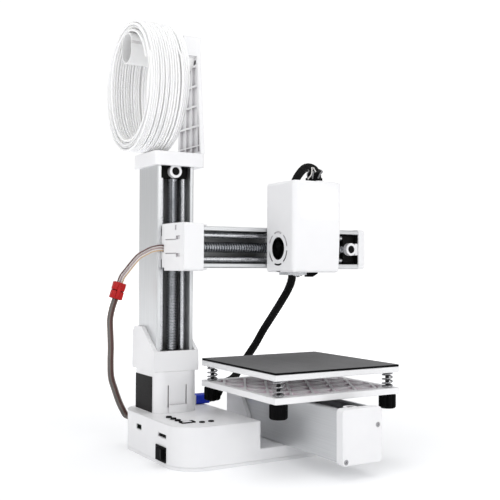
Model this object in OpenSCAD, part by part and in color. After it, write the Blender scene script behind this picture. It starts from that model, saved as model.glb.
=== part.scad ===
/* [Foot] */
// Depth of the foot, front to back
foot_d = 102; // [98:1:130]
// Width of the raised electronics box on the left of the foot
box_w = 60; // [58:1:66]
// Height of the raised electronics box
box_h = 28.5; // [27.5:0.5:34]
// Corner radius of the raised box
box_r = 20; // [12:1:20]
// Height of the low platform under the bed rail
platform_h = 10; // [8:0.5:14]
// Corner radius of the low platform
platform_r = 8; // [4:1:14]
// Wall of the foot shell
foot_wall = 2; // [1.6:0.1:2.4]
// Thickness of the bottom plate
bottom_t = 2; // [1.6:0.1:2.4]
// Radius of each grip pad
pad_r = 6; // [4:0.5:8]
// Thickness of each grip pad
pad_t = 1.2; // [0.8:0.1:1.4]

/* [Channel profile of every axis] */
// Width of the channel profile
prof_w = 29; // [28:0.5:31]
// Depth of the channel profile
prof_d = 33; // [30:0.5:36]
// Wall of the channel profile
prof_t = 2; // [1.6:0.1:2.2]
// Width of each lip beside the open face
lip_w = 3; // [2.5:0.1:3.4]
// Thickness of each lip
lip_t = 1.6; // [1.2:0.1:2]
// Outer corner radius of the profile
prof_r = 1.2; // [0.6:0.1:1.6]
// Height of the small ribs on the inner side walls
rib_h = 1; // [0.6:0.1:1]
// Width of the small ribs
rib_w = 1.5; // [1:0.1:2]

/* [Screws, rods and motors] */
// Diameter of each lead screw
screw_d = 7.4; // [6:0.1:8]
// Diameter of the plain journals at the ends of each lead screw
journal_d = 4; // [3:0.1:4.4]
// Diameter of each guide rod
rod_d = 4; // [3:0.1:4.4]
// Distance of each guide rod from the lead screw
rod_gap = 8.5; // [7.6:0.1:8.6]
// Depth of the screw and rods behind the open face
drive_v = 7; // [6.6:0.1:8]
// Running clearance of a shaft in its bore, on the radius
run_fit = 0.05; // [0.02:0.01:0.1]
// Width of the column's square motor
z_motor_w = 17; // [14:0.5:17]
// Length of the column's motor
z_motor_l = 26; // [20:0.5:26]
// Diameter of the round motors of the arm and the rail
round_motor_d = 13.5; // [12:0.5:14]
// Length of the arm's motor
x_motor_l = 11; // [8:0.5:11]
// Length of the rail's motor
y_motor_l = 8; // [6:0.5:8]

/* [Column] */
// Centre of the column from the left face of the foot
column_inset = 25.5; // [25:0.5:27]
// Front plane of the column, behind the centre of the foot
column_y = 10; // [6:0.5:12]
// How far the carriage climbs above its place at rest
z_up = 41.7; // [30:0.1:60]
// Height of the motor socket
socket_h = 29; // [29:0.5:33]
// Length of a collar's front wall
collar_l = 14.5; // [13:0.5:14.5]
// Wall of a collar beside the profile
collar_t = 3; // [2:0.1:3.2]
// Radius of the rounded edge of a collar's cheeks
collar_r = 6; // [3:0.5:8]
// Run of a collar's slanted cheek, along the profile
cheek_run = 16.5; // [10:0.5:20]

/* [Arm and carriage] */
// Height of the nozzle over the build sheet, at rest
print_gap = 58.8; // [55:0.1:59]
// Height of the arm's screw over the nozzle tip
arm_rise = 20.7; // [20.7:0.1:22]
// How far the head runs to each side of its place at rest
x_travel = 50; // [40:0.5:50]
// Width of the carriage shell, left to right
carriage_w = 15; // [14.5:0.1:15]
// Depth of the carriage shell
carriage_d = 35.6; // [35:0.1:35.8]
// Gap between the carriage and the column
carriage_gap = 0.4; // [0.4:0.1:0.6]
// Length of the column slider
z_slider_l = 16.5; // [12:0.5:18]
// Length of the arm slider
x_slider_l = 15; // [10:0.5:15]
// Length of the rail slider
y_slider_l = 10; // [8:0.5:12]
// Radius of the ring boss on each end clip
boss_r = 4.8; // [4.2:0.1:5]
// Radius of the recess in each ring boss
recess_r = 2.9; // [2.4:0.1:3.2]

/* [Head] */
// Width of the head
head_w = 40.5; // [39:0.5:44]
// How much narrower the head is at its foot
head_taper = 3; // [0:0.1:4]
// Depth of the head
head_d = 34.5; // [33:0.5:40]
// Height of the head
head_h = 63.3; // [60:0.1:70]
// Wall of the head's cover
head_wall = 1.8; // [1.2:0.1:2]
// Thickness of the head's back plate
head_back_t = 3; // [2.4:0.1:3.4]
// Radius of the head's upright front edges
head_r = 3.5; // [2:0.1:5]
// Width of the square fan frame
fan_w = 22.4; // [21.6:0.1:22.6]
// Thickness of the fan frame
fan_t = 5; // [4:0.1:5]
// Radius of the fan's opening in the cover
fan_hole_r = 8; // [6:0.5:9]
// Width of the air duct beside the nozzle
duct_w = 7.2; // [5:0.1:7.6]
// Diameter of the extruder's heat sink
sink_d = 13; // [10:0.5:13]
// Diameter of the filament
filament_d = 1.75; // [1.7:0.05:1.8]
// Diameter of the extruder's drive gear
drive_gear_d = 10.6; // [9:0.1:11]
// Diameter of the idler roller
idler_d = 8.4; // [7:0.1:9]

/* [Bed] */
// Centre line of the rail from the right face of the foot
rail_inset = 19.5; // [18:0.5:24]
// Gap between the bed and the column's collar
bed_clear = 1.5; // [1:0.1:4]
// How far the bed runs to the front and to the back of its place at rest
y_travel = 50; // [40:0.5:50]
// Width and depth of the bed
bed_w = 100; // [90:1:100]
// Gap between the rail and the bed's lower plate
bed_gap = 3.3; // [3.3:0.1:4]
// Thickness of the lower plate
lower_t = 4; // [3:0.1:6]
// Height of the levelling springs
spring_l = 10.5; // [8:0.1:12]
// Thickness of the upper plate
upper_t = 3.8; // [3.6:0.1:6]
// Thickness of the build sheet
sheet_t = 1.4; // [1:0.1:3]
// Inset of the levelling screws from the bed's edges
level_inset = 6; // [6:0.1:8]
// Diameter of the levelling screws
level_screw_d = 3; // [2:0.1:3.4]
// Diameter of each levelling knob
knob_d = 11.8; // [10:0.1:13.4]
// Height of each levelling knob
knob_h = 9.6; // [7:0.1:9.8]
// Spacing of the triangular lattice in the lower plate
lattice_pitch = 17; // [13:0.5:20]
// Width of the lattice ribs
lattice_rib = 1.8; // [1:0.1:2.4]

/* [Spool holder] */
// Height of the cap on the column
cap_h = 10; // [8:0.5:14]
// Height of the upright above the cap
upright_h = 86.5; // [84:0.5:92]
// Thickness of the upright
upright_t = 3.2; // [2.6:0.1:5]
// Depth of the bar along the upright's top
bar_d = 14; // [10:0.5:16]
// Width of the upright at its top
upright_top_w = 26; // [23:0.5:28]
// Skin left behind the upright's cells
upright_skin = 1.2; // [1:0.1:2]
// Rib between the upright's cells
upright_rib = 1.6; // [1:0.1:2]
// Length of the peg
peg_l = 49.8; // [46:0.2:56]
// Radius of each of the peg's two lobes
lobe_r = 9.5; // [7:0.1:9.6]
// Distance of each lobe from the peg's centre
lobe_gap = 1.8; // [1.2:0.1:2]
// Wall of the peg
peg_t = 1.2; // [1.2:0.1:2.4]
// Half of the slack filament coil's depth, front to back
coil_half = 42.7; // [36:0.1:46]
// Thickness of the filament coil's ring
coil_t = 8.4; // [4:0.1:9]
// Width of the filament coil
coil_w = 30; // [16:0.5:30]

/* [Controls and ports] */
// Radius of each push button
button_r = 2; // [1.4:0.1:2.6]
// Spacing of the push buttons
button_pitch = 7; // [6.4:0.1:8]
// Height that each button stands proud
button_proud = 0.9; // [0.6:0.1:1.4]
// Gap around each button
button_gap = 0.3; // [0.2:0.05:0.4]
// Length of the mode switch's slot
mode_slot_l = 9; // [8:0.1:10]
// Width of the mode switch's slot
mode_slot_w = 5; // [4:0.1:6]
// Length of the mode switch's sliding cap
mode_cap_l = 5; // [3:0.1:5]
// Radius of each indicator light
light_r = 1.3; // [0.8:0.1:1.8]
// Length of the power switch's opening
rocker_l = 12.6; // [11:0.1:13]
// Height of the power switch's opening
rocker_h = 7.2; // [6:0.1:7.4]
// Width of the memory card slot
card_w = 12.4; // [11.5:0.1:13]
// Width of the micro data port's mouth
usb_w = 7.6; // [7.2:0.1:8]
// Radius of the power jack's bore
jack_r = 2.9; // [2.6:0.1:3.2]

/* [Cables] */
// Diameter of the head's cable
cable_d = 6.6; // [5:0.1:7]
// Width of the band of wires at the carriage
band_w = 4.6; // [4:0.1:6]
// Width of the flat cable at the foot
ribbon_w = 5; // [4:0.1:6]
// Thickness of both flat cables
ribbon_t = 1.8; // [1.2:0.1:2]

/* [Hidden] */
$fn = 48;

// Overrun of a cut past the face that it opens
cut = 1;
// Gap left between pieces that slide past each other
slide_gap = 0.3;
// Gap around a profile that sits in a housing
seat_gap = 0.1;
// Depth that a collar's slanted edge crosses for each unit of its run
cheek_slope = 1.345;

// Gap left where a slider ends its run at an end clip
stop_gap = 0.4;
// How far a profile reaches past the ring boss of its end clip
boss_back = 6.3;
z_boss_back = 5.6;

// Faces of the foot, which reaches past the column on one side and the rail on the other
column_to_rail = prof_w/2 + collar_t + bed_clear + bed_w/2;
foot_w = column_inset + column_to_rail + rail_inset;
foot_left = -foot_w/2;
foot_right = foot_w/2;
foot_front = -foot_d/2;
foot_back = foot_d/2;
box_right = foot_left + box_w;
column_x = foot_left + column_inset;
rail_x = column_x + column_to_rail;

// The column stands on its motor socket
socket_top = box_h + socket_h;
socket_sink = 1;
column_z = socket_top - socket_sink;

// The rail lies on the low platform with its open face upward
rail_top = platform_h + prof_d;
rail_back = column_y + 14;

// Levels of the bed
lower_z = rail_top + bed_gap;
spring_z = lower_z + lower_t;
upper_z = spring_z + spring_l;
sheet_z = upper_z + upper_t;
bed_top = sheet_z + sheet_t;

// The carriage, the arm and the head at rest
nozzle_z = bed_top + print_gap;
arm_z = nozzle_z + arm_rise;
carriage_back = column_y - carriage_gap;
arm_back_wall = 0.6;
arm_y = carriage_back - arm_back_wall - prof_d;
carriage_front = carriage_back - carriage_d;
carriage_left = column_x - 11;
carriage_right = carriage_left + carriage_w;
carriage_drop = 16.5;
carriage_up = 16.5;
head_gap = 1.5;
head_rear = arm_y - head_gap;
head_front = head_rear - head_d;
head_left_in = 14;
head_left = rail_x - head_left_in;
nozzle_drop = 3.4;
head_low = nozzle_z + nozzle_drop;
head_high = head_low + head_h;
nozzle_in = 18.5;
nozzle_y = head_rear - nozzle_in;

// Lengths of the profiles: room for the travel, then the end clip
z_slider_low = 8.5;
z_slider_from = arm_z - column_z - z_slider_low;
z_boss = z_slider_from + z_slider_l + z_up + stop_gap + boss_r;
column_l = z_boss + z_boss_back;
column_top = column_z + column_l;
cap_sink = 2;
cap_z = column_top - cap_sink;
cap_top = cap_z + cap_h;
x_boss = rail_x - carriage_right + x_slider_l/2 + x_travel + stop_gap + boss_r;
arm_l = x_boss + boss_back;
y_boss = rail_back - nozzle_y + y_slider_l/2 + y_travel + stop_gap + boss_r;
rail_l = y_boss + boss_back;

// Half width of what runs between a channel's lips
run_half = prof_w/2 - lip_w - slide_gap;
// Depth to which a slider, a clip and a flange reach behind the open face
block_v = 12;
// Clear bore radii
rod_bore = rod_d/2 + run_fit;
screw_bore = screw_d/2 + run_fit;
journal_bore = journal_d/2 + run_fit;
level_bore = level_screw_d/2 + run_fit;
journal_in = 3;
shaft_hole = journal_d/2 + 0.6;
flange_t = 3;

// --- plain helpers ---

function unit(v) = v/norm(v);

// A round-cornered rectangle whose low corner is at the origin
module round_rect(w, h, r) {
    translate([r, 0]) square([w - 2*r, h]);
    translate([0, r]) square([w, h - 2*r]);
    for (x = [r, w - r], y = [r, h - r])
        translate([x, y]) circle(r);
}

// A cylinder along +X, along +Y
module rod_x(r, l) {
    rotate([0, 90, 0]) cylinder(r = r, h = l);
}

module rod_y(r, l) {
    rotate([-90, 0, 0]) cylinder(r = r, h = l);
}

// Extrude an outline drawn in (Y, Z) along +X
module along_x(l) {
    rotate([90, 0, 90]) linear_extrude(l) children();
}

// Place an axis frame: across the channel, depth behind the open face, along the channel
module on_column() {
    translate([column_x, column_y, column_z]) children();
}

module on_arm() {
    translate([carriage_right, arm_y, arm_z]) rotate([0, 90, 0]) children();
}

module on_rail() {
    translate([rail_x, rail_back, rail_top]) rotate([0, 180, 0]) rotate([90, 0, 0]) children();
}

// --- the parts that every axis shares ---

module channel_outline() {
    difference() {
        translate([-prof_w/2, 0]) round_rect(prof_w, prof_d, prof_r);
        translate([-prof_w/2 + prof_t, lip_t]) square([prof_w - 2*prof_t, prof_d - prof_t - lip_t]);
        translate([-prof_w/2 + lip_w, -cut]) square([prof_w - 2*lip_w, lip_t + 2*cut]);
    }
    for (side = [-1, 1], v = [prof_d*0.45, prof_d*0.7])
        translate([side*(prof_w/2 - prof_t - rib_h/2), v]) square([rib_h + 0.02, rib_w], center = true);
}

module channel(l) {
    linear_extrude(l) channel_outline();
}

// The two guide rods from one place to another along the axis
module guide_rods(from, to) {
    for (side = [-1, 1])
        translate([side*rod_gap, drive_v, from]) cylinder(d = rod_d, h = to - from);
}

module rod_bores(from, to) {
    for (side = [-1, 1])
        translate([side*rod_gap, drive_v, from]) cylinder(r = rod_bore, h = to - from);
}

// A lead screw: journal in the motor, screw, journal in the end clip
module lead_screw(shaft_from, from, to) {
    translate([0, drive_v, shaft_from]) cylinder(d = journal_d, h = to + journal_in - shaft_from);
    translate([0, drive_v, from]) cylinder(d = screw_d, h = to - from);
}

// The block that the carriage, head or bed hangs on, from depth v0 to block_v, l long
module slider(v0, from, l) {
    difference() {
        translate([-run_half, v0, from]) cube([2*run_half, block_v - v0, l]);
        rod_bores(from - cut, from + l + cut);
        translate([0, drive_v, from - cut]) cylinder(r = screw_bore, h = l + 2*cut);
    }
}

// The clip in the far end of a channel: ring boss, tongue, and the bearing block behind them
module end_clip(l, back) {
    boss_at = l - back;
    block_from = boss_at - boss_r;
    block_v0 = 4.4;
    recess_v = 4;
    difference() {
        union() {
            translate([-run_half, block_v0, block_from])
                cube([2*run_half, block_v - block_v0, l - block_from]);
            translate([0, 0, boss_at]) rod_y(boss_r, block_v0);
            translate([-boss_r, 0, boss_at]) cube([2*boss_r, block_v0, back]);
        }
        translate([0, -cut, boss_at]) rod_y(recess_r, recess_v + cut);
        rod_bores(block_from - cut, boss_at);
        translate([0, drive_v, block_from - cut])
            cylinder(r = journal_bore, h = journal_in + cut + slide_gap);
    }
    // Screw sunk in the recess
    screw_t = 2.4;
    translate([0, recess_v - screw_t, boss_at]) difference() {
        rod_y(recess_r, screw_t);
        translate([0, -cut, 0]) rotate([-90, 0, 0])
            cylinder(r = recess_r*0.45, h = screw_t/2 + cut, $fn = 6);
    }
}

// The plate that a motor is fastened to, inside the channel
module motor_flange(from) {
    difference() {
        translate([-run_half, lip_t + slide_gap, from]) cube([2*run_half, block_v - lip_t, flange_t]);
        rod_bores(from - cut, from + flange_t + cut);
        translate([0, drive_v, from - cut]) cylinder(r = shaft_hole, h = flange_t + 2*cut);
    }
}

// A collar around a profile: front wall over the open face, and cheeks cut on a slant
module collar(front_t, back_t) {
    outer_w = prof_w + 2*collar_t;
    top = collar_l + cheek_run;
    back = prof_d + back_t;
    round_at = back - collar_r;
    difference() {
        translate([-outer_w/2, 0, 0]) along_x(outer_w) {
            polygon([
                [-front_t, 0],
                [-front_t, collar_l],
                [cheek_run*cheek_slope - front_t, top],
                [round_at, top],
                [round_at, 0],
            ]);
            translate([round_at - cut, 0]) square([collar_r + cut, top - collar_r]);
            translate([round_at, top - collar_r]) circle(collar_r);
        }
        translate([-prof_w/2 - seat_gap, -seat_gap, -cut])
            cube([prof_w + 2*seat_gap, prof_d + 2*seat_gap, top + 2*cut]);
        // Above the front wall the open face is clear
        translate([-prof_w/2 - seat_gap, -front_t - cut, collar_l])
            cube([prof_w + 2*seat_gap, front_t + 2*cut, cheek_run + cut]);
    }
}

// A cap over the end of a profile, t thick, with its rim r round
module profile_cap(t, over) {
    translate([-prof_w/2 - over, -over, 0])
        linear_extrude(t) round_rect(prof_w + 2*over, prof_d + 2*over, 2.5);
}

// --- foot ---

module foot_outline(inset) {
    intersection() {
        translate([foot_left + inset, foot_front + inset])
            round_rect(foot_w - 2*inset, foot_d - 2*inset, box_r - inset);
        translate([foot_left, foot_front]) square([box_w - inset, foot_d]);
    }
}

module platform_outline(inset) {
    intersection() {
        translate([foot_left + inset, foot_front + inset])
            round_rect(foot_w - 2*inset, foot_d - 2*inset, platform_r - inset/2);
        translate([box_right - inset - 1, foot_front]) square([foot_w - box_w + inset + 1, foot_d]);
    }
}

button_x = foot_left + 12;
button_y = foot_front + 41.8;
button_flange = 0.8;
mode_x = foot_left + 14.8;
mode_y = foot_front + 19.4;
light_x = foot_left + 23.4;
light_y = foot_front + 14.6;
light_pitch = 6.8;
board_z = 16.4;
board_t = 1.6;
board_top = board_z + board_t;
usb_y = foot_front + 65.4;
usb_h = 2.9;
card_y = foot_front + 26.8;
card_slot_h = 2.5;
rocker_y = foot_front + 28;
rocker_z = 8;
jack_x = foot_left + 37;
jack_z = 9.2;
jack_w = 9;
jack_body_h = 11;
jack_d = 12;
ribbon_x = foot_left + 8;
ribbon_exit_z = 20;
slot_reach = 8;

module base_shell() {
    bezel_gap = 0.1;
    color("whitesmoke") difference() {
        union() {
            translate([0, 0, bottom_t]) linear_extrude(box_h - bottom_t) foot_outline(0);
            translate([0, 0, bottom_t]) linear_extrude(platform_h - bottom_t) platform_outline(0);
        }
        translate([0, 0, bottom_t - cut]) linear_extrude(box_h - bottom_t - foot_wall + cut)
            foot_outline(foot_wall);
        translate([0, 0, bottom_t - cut]) linear_extrude(platform_h - bottom_t - foot_wall + cut)
            platform_outline(foot_wall);
        // Openings for the controls on the top
        for (i = [0:2])
            translate([button_x, button_y - i*button_pitch, box_h - foot_wall - cut])
                cylinder(r = button_r + button_gap, h = foot_wall + 2*cut);
        translate([mode_x - mode_slot_l/2, mode_y - mode_slot_w/2, box_h - foot_wall - cut])
            cube([mode_slot_l, mode_slot_w, foot_wall + 2*cut]);
        for (i = [0:1])
            translate([light_x + i*light_pitch, light_y, box_h - foot_wall - cut])
                cylinder(r = light_r, h = foot_wall + 2*cut);
        // Openings in the left wall
        translate([foot_left - cut, usb_y - usb_w/2 - 0.4, board_top - 0.2])
            cube([foot_wall + 2*cut, usb_w + 0.8, usb_h + 0.6]);
        translate([foot_left - cut, card_y - card_w/2, board_top + 0.8])
            cube([foot_wall + 2*cut, card_w, card_slot_h]);
        translate([foot_left - cut, rocker_y, rocker_z])
            translate([0, -rocker_l/2 - 1 - bezel_gap, -rocker_h/2 - 1 - bezel_gap])
                cube([foot_wall + 2*cut + 1, rocker_l + 2 + 2*bezel_gap, rocker_h + 2 + 2*bezel_gap]);
        // Openings in the back wall
        translate([jack_x, foot_back - foot_wall - cut, jack_z]) rod_y(jack_r + 0.8, foot_wall + 2*cut);
        translate([ribbon_x, foot_back - foot_wall - cut, ribbon_exit_z])
            translate([-ribbon_w/2 - 0.5, -slot_reach, -ribbon_t/2 - 0.5])
                cube([ribbon_w + 1, slot_reach + foot_wall + 2*cut, ribbon_t + 1]);
    }
}

pad_in = 14;
pad_places = [
    [foot_left + pad_in, foot_front + pad_in],
    [foot_left + pad_in, foot_back - pad_in],
    [foot_right - pad_in, foot_front + pad_in],
    [foot_right - pad_in, foot_back - pad_in],
];
board_inset = 5;
post_r = 3;
post_in = 11;

module post_places() {
    for (x = [foot_left + post_in, box_right - post_in], y = [foot_front + 17, foot_back - 13])
        translate([x, y, 0]) children();
}

module base_plate() {
    color("white") {
        difference() {
            linear_extrude(bottom_t) union() {
                foot_outline(0);
                platform_outline(0);
            }
            for (p = pad_places)
                translate([p[0], p[1], -cut]) cylinder(r = pad_r, h = pad_t + cut);
        }
        post_places() translate([0, 0, bottom_t]) cylinder(r = post_r, h = board_z - bottom_t);
    }
}

module grip_pads() {
    color("dimgray") for (p = pad_places)
        translate([p[0], p[1], 0]) cylinder(r = pad_r, h = pad_t);
}

module main_board() {
    board_l = foot_d - 2*(foot_wall + board_inset);
    board_w = box_w - 2*foot_wall - 2;
    color("darkgreen") intersection() {
        translate([foot_left + foot_wall + 0.5, -board_l/2, board_z]) cube([board_w, board_l, board_t]);
        translate([0, 0, board_z - cut]) linear_extrude(board_t + 2*cut) foot_outline(foot_wall + 0.5);
    }
    color("black") {
        translate([foot_left + 30, 4, board_top]) cube([12, 12, 1.6]);
        for (i = [0:3])
            translate([foot_left + 26 + i*7, -20, board_top]) cube([5, 6, 1.2]);
    }
    color("ivory") for (i = [0:2])
        translate([box_right - 10, -12 + i*12, board_top]) cube([5, 9, 6]);
    data_socket();
    card_socket();
}

module push_button(i) {
    color("black") translate([button_x, button_y - i*button_pitch, 0]) {
        translate([0, 0, box_h - foot_wall - slide_gap - button_flange])
            cylinder(r = button_r + 0.8, h = button_flange);
        translate([0, 0, box_h - foot_wall - slide_gap])
            cylinder(r = button_r, h = foot_wall + slide_gap + button_proud);
        translate([0, 0, board_top + 5.4])
            cylinder(r = 0.9, h = box_h - foot_wall - slide_gap - button_flange - board_top - 5.4);
    }
}

module mode_slider() {
    cap_wid = mode_slot_w - 2*slide_gap;
    low = box_h - foot_wall - slide_gap;
    color("white") {
        translate([mode_x - mode_cap_l/2, mode_y - cap_wid/2, low])
            cube([mode_cap_l, cap_wid, foot_wall + slide_gap + 0.8]);
        translate([mode_x - mode_cap_l/2 - 1, mode_y - mode_slot_w/2 - 1, low - 1])
            cube([mode_cap_l + 2, mode_slot_w + 2, 1]);
    }
}

module indicator_lights() {
    color("black") for (i = [0:1])
        translate([light_x + i*light_pitch, light_y, box_h - foot_wall])
            cylinder(r = light_r, h = foot_wall + 0.3);
}

// --- ports ---

module data_socket() {
    mouth = 0.3;
    depth = 5.6;
    color("silver") translate([foot_left + mouth, usb_y - usb_w/2, board_top]) difference() {
        cube([depth, usb_w, usb_h]);
        translate([-cut, 0.3, 0.3]) cube([depth - 0.5 + cut, usb_w - 0.6, usb_h - 0.6]);
    }
    color("black") translate([foot_left + mouth + 0.6, usb_y - usb_w/2 + 1.2, board_top + usb_h/2 - 0.3])
        cube([depth - 0.8, usb_w - 2.4, 0.7]);
}

module card_socket() {
    body_w = card_w + 2.4;
    body_d = 15;
    body_h = card_slot_h + 1.6;
    color("silver") translate([foot_left + foot_wall + 0.1, card_y - body_w/2, board_top]) difference() {
        cube([body_d, body_w, body_h]);
        translate([-cut, (body_w - card_w)/2, 0.8]) cube([body_d - 1 + cut, card_w, card_slot_h]);
    }
}

// The power jack's barrel opens at the back wall
module dc_jack() {
    jack_deep = 9.5;
    color("black") difference() {
        union() {
            translate([jack_x - jack_w/2, foot_back - foot_wall - jack_d, jack_z - jack_body_h/2 + 0.2])
                cube([jack_w, jack_d, jack_body_h - 0.4]);
            translate([jack_x, foot_back - foot_wall, jack_z]) rod_y(jack_r + 0.7, foot_wall);
        }
        translate([jack_x, foot_back - jack_deep, jack_z]) rod_y(jack_r, jack_deep + cut);
    }
}

bezel_t = 0.8;
bezel_rim = 1.4;
rocker_tilt = 8;
rocker_pivot = 1.2;
rocker_pin_r = 0.8;
rocker_pin_out = 0.8;

module switch_bezel() {
    deep = 9;
    color("black") difference() {
        union() {
            translate([foot_left - bezel_t, rocker_y - rocker_l/2, rocker_z - rocker_h/2])
                translate([0, -bezel_rim, -bezel_rim])
                    cube([bezel_t, rocker_l + 2*bezel_rim, rocker_h + 2*bezel_rim]);
            translate([foot_left, rocker_y - rocker_l/2 - 1, rocker_z - rocker_h/2 - 1])
                cube([deep, rocker_l + 2, rocker_h + 2]);
        }
        translate([foot_left - bezel_t - cut, rocker_y - rocker_l/2, rocker_z - rocker_h/2])
            cube([bezel_t + deep - 1 + cut, rocker_l, rocker_h]);
        // Bores of the rocker's pins
        translate([foot_left + rocker_pivot, rocker_y, rocker_z - rocker_h/2 - 1 - cut])
            cylinder(r = rocker_pin_r + run_fit, h = rocker_h + 2 + 2*cut);
    }
}

// The rocker leans to one side at rest and swings to the other
module power_rocker() {
    half = rocker_l/2 - slide_gap - 0.1;
    end_rise = 3.2;
    mid_rise = 2.2;
    back = 0.8;
    wide = rocker_h - 2*slide_gap;
    pin_l = rocker_h + 2*rocker_pin_out;
    color("black") translate([foot_left + rocker_pivot, rocker_y, rocker_z]) {
        translate([0, 0, -wide/2]) rotate([0, 0, -rocker_tilt]) linear_extrude(wide) polygon([
            [back, -half],
            [back, half],
            [-end_rise, half - 0.2],
            [-mid_rise, 0],
            [-end_rise, 0.2 - half],
        ]);
        translate([0, 0, -wide/2]) cylinder(r = 2*back, h = wide);
        translate([0, 0, -pin_l/2]) cylinder(r = rocker_pin_r, h = pin_l);
    }
}

// --- column ---

socket_wall = 2;
socket_r = 8;
socket_side = 2.5;
socket_front = 4;
socket_back = 3.5;
latch_w = 14;

module column_socket() {
    w = prof_w + 2*socket_side;
    d = prof_d + socket_front + socket_back;
    room_w = z_motor_w + 0.8;
    color("white") difference() {
        union() {
            translate([column_x - w/2, column_y - socket_front, box_h])
                linear_extrude(socket_h) round_rect(w, d, socket_r);
            // Thumb pad of the spring latch
            translate([column_x - latch_w/2, column_y - socket_front - 1.6, box_h])
                cube([latch_w, 1.6, 5.8]);
        }
        // Seat of the profile
        translate([column_x - prof_w/2 - seat_gap, column_y - seat_gap, column_z - seat_gap])
            cube([prof_w + 2*seat_gap, prof_d + 2*seat_gap, socket_sink + cut]);
        // Room for the motor and its wires
        translate([column_x - room_w/2, column_y - socket_front + socket_wall, box_h - cut])
            cube([room_w, prof_d + socket_front - socket_wall - 2, socket_h + 2*cut]);
        // Slits beside the spring latch
        for (side = [-1, 1])
            translate([column_x + side*latch_w/2 - 0.4, column_y - socket_front - cut, box_h + 4])
                cube([0.8, socket_wall + 2*cut, 15.5]);
    }
}

module column_collar() {
    color("white") translate([column_x, column_y, socket_top]) collar(2.5, 3.5);
}

module z_motor() {
    shaft_in = 7;
    low = column_z - 0.5 - z_motor_l;
    color("dimgray") difference() {
        translate([column_x - z_motor_w/2, column_y + drive_v - z_motor_w/2, low])
            cube([z_motor_w, z_motor_w, z_motor_l]);
        translate([column_x, column_y + drive_v, low + z_motor_l - shaft_in])
            cylinder(r = journal_bore, h = shaft_in + cut);
    }
    color("silver") on_column() motor_flange(0.5);
}

module z_profile() {
    color("silver") on_column() channel(column_l);
}

// The guide rods of the column and of the rail
module frame_rods() {
    color("gainsboro") {
        on_column() guide_rods(0.5, z_boss - 2);
        on_rail() guide_rods(y_flange, y_boss - 2);
    }
}

module z_lead_screw() {
    color("lightsteelblue") on_column() lead_screw(-7, 4, z_boss - boss_r - slide_gap);
}

// The end clips of the column and of the rail
module frame_clips() {
    color("white") {
        on_column() end_clip(column_l - cap_sink, z_boss_back - cap_sink);
        on_rail() end_clip(rail_l, boss_back);
    }
}

cap_front = 3;
cap_side = 3;
cap_right = 7;

module top_cap() {
    w = prof_w + cap_side + cap_right;
    color("white") difference() {
        translate([column_x - prof_w/2 - cap_side, column_y - cap_front, cap_z])
            linear_extrude(cap_h) round_rect(w, prof_d + 2*cap_front, 2);
        translate([column_x, column_y, cap_z - cut]) linear_extrude(cap_sink + cut)
            translate([-prof_w/2 - seat_gap, -seat_gap]) square([prof_w + 2*seat_gap, prof_d + 2*seat_gap]);
    }
}

// --- spool holder ---

upright_right = column_x + prof_w/2 + cap_right;
upright_left = upright_right - upright_t;
bar_left = upright_right - bar_d;
upright_low_w = prof_d + 2*cap_front;
spool_y = column_y + prof_d/2 + 0.5;
peg_drop = 11.9;
peg_z = cap_top + upright_h - peg_drop;
bar_h = 14;
cell_w = 9.7;
cell_h = 15;
cell_shift = 6;
vent_h = 5;
groove_r = 1;
groove_up = 2.6;

// Half width of the upright at a height above the cap
function upright_half(h) = upright_low_w/2 + (upright_top_w - upright_low_w)/2 * h/(upright_h - bar_h);

module upright_outline() {
    mid = column_y + prof_d/2;
    polygon([
        [mid - upright_half(0), cap_top],
        [mid + upright_half(0), cap_top],
        [spool_y + upright_top_w/2, cap_top + upright_h - bar_h],
        [spool_y + upright_top_w/2, cap_top + upright_h],
        [spool_y - upright_top_w/2, cap_top + upright_h],
        [spool_y - upright_top_w/2, cap_top + upright_h - bar_h],
    ]);
}

// The field that the cells fill, inside the upright's edge walls
module cell_field() {
    edge = 2;
    mid = column_y + prof_d/2;
    polygon([
        [mid - upright_half(0) + edge, cap_top + edge],
        [mid + upright_half(0) - edge, cap_top + edge],
        [spool_y + upright_top_w/2 - edge, cap_top + upright_h - bar_h - edge],
        [spool_y - upright_top_w/2 + edge, cap_top + upright_h - bar_h - edge],
    ]);
}

module spool_upright() {
    mid = column_y + prof_d/2;
    rows = floor((upright_h - bar_h - vent_h)/cell_h);
    color("white") difference() {
        union() {
            translate([upright_left, 0, 0]) along_x(upright_t) upright_outline();
            translate([bar_left, spool_y - upright_top_w/2, cap_top + upright_h - bar_h])
                cube([bar_d, upright_top_w, bar_h]);
        }
        translate([upright_left - cut, 0, 0]) along_x(upright_t - upright_skin + cut) intersection() {
            cell_field();
            union() for (column = [-3:1]) {
                y = mid + cell_shift + column*cell_w + upright_rib/2;
                translate([y, cap_top + 2]) square([cell_w - upright_rib, vent_h - 1]);
                for (row = [0:rows])
                    translate([y, cap_top + 2 + vent_h + row*cell_h])
                        square([cell_w - upright_rib, cell_h - upright_rib]);
            }
        }
        // Seat of the peg in the bar
        translate([bar_left - cut, 0, 0]) along_x(bar_d - upright_t + cut) peg_outline(lobe_r + seat_gap);
    }
}

// Two stacked lobes; r is the lobes' radius
module peg_outline(r) {
    for (side = [-1, 1])
        translate([spool_y, peg_z + side*lobe_gap]) circle(r);
}

module spool_peg() {
    color("white") translate([upright_left - peg_l, 0, 0]) along_x(peg_l) difference() {
        peg_outline(lobe_r);
        peg_outline(lobe_r - peg_t);
        for (side = [-1, 1])
            translate([spool_y + side*lobe_r, peg_z + groove_up]) circle(groove_r);
    }
}

// The slack coil hangs on the peg as an oval that just clears the cap
coil_high = peg_z + lobe_gap + lobe_r + slide_gap + coil_t;
coil_rise = (coil_high - cap_top - slide_gap)/2;
coil_gap = 9;
coil_rim = 1.5;

// An oval of 96 points from its two half axes
function oval(a, b) = [for (i = [0:95]) [a*cos(i*360/96), b*sin(i*360/96)]];

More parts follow.
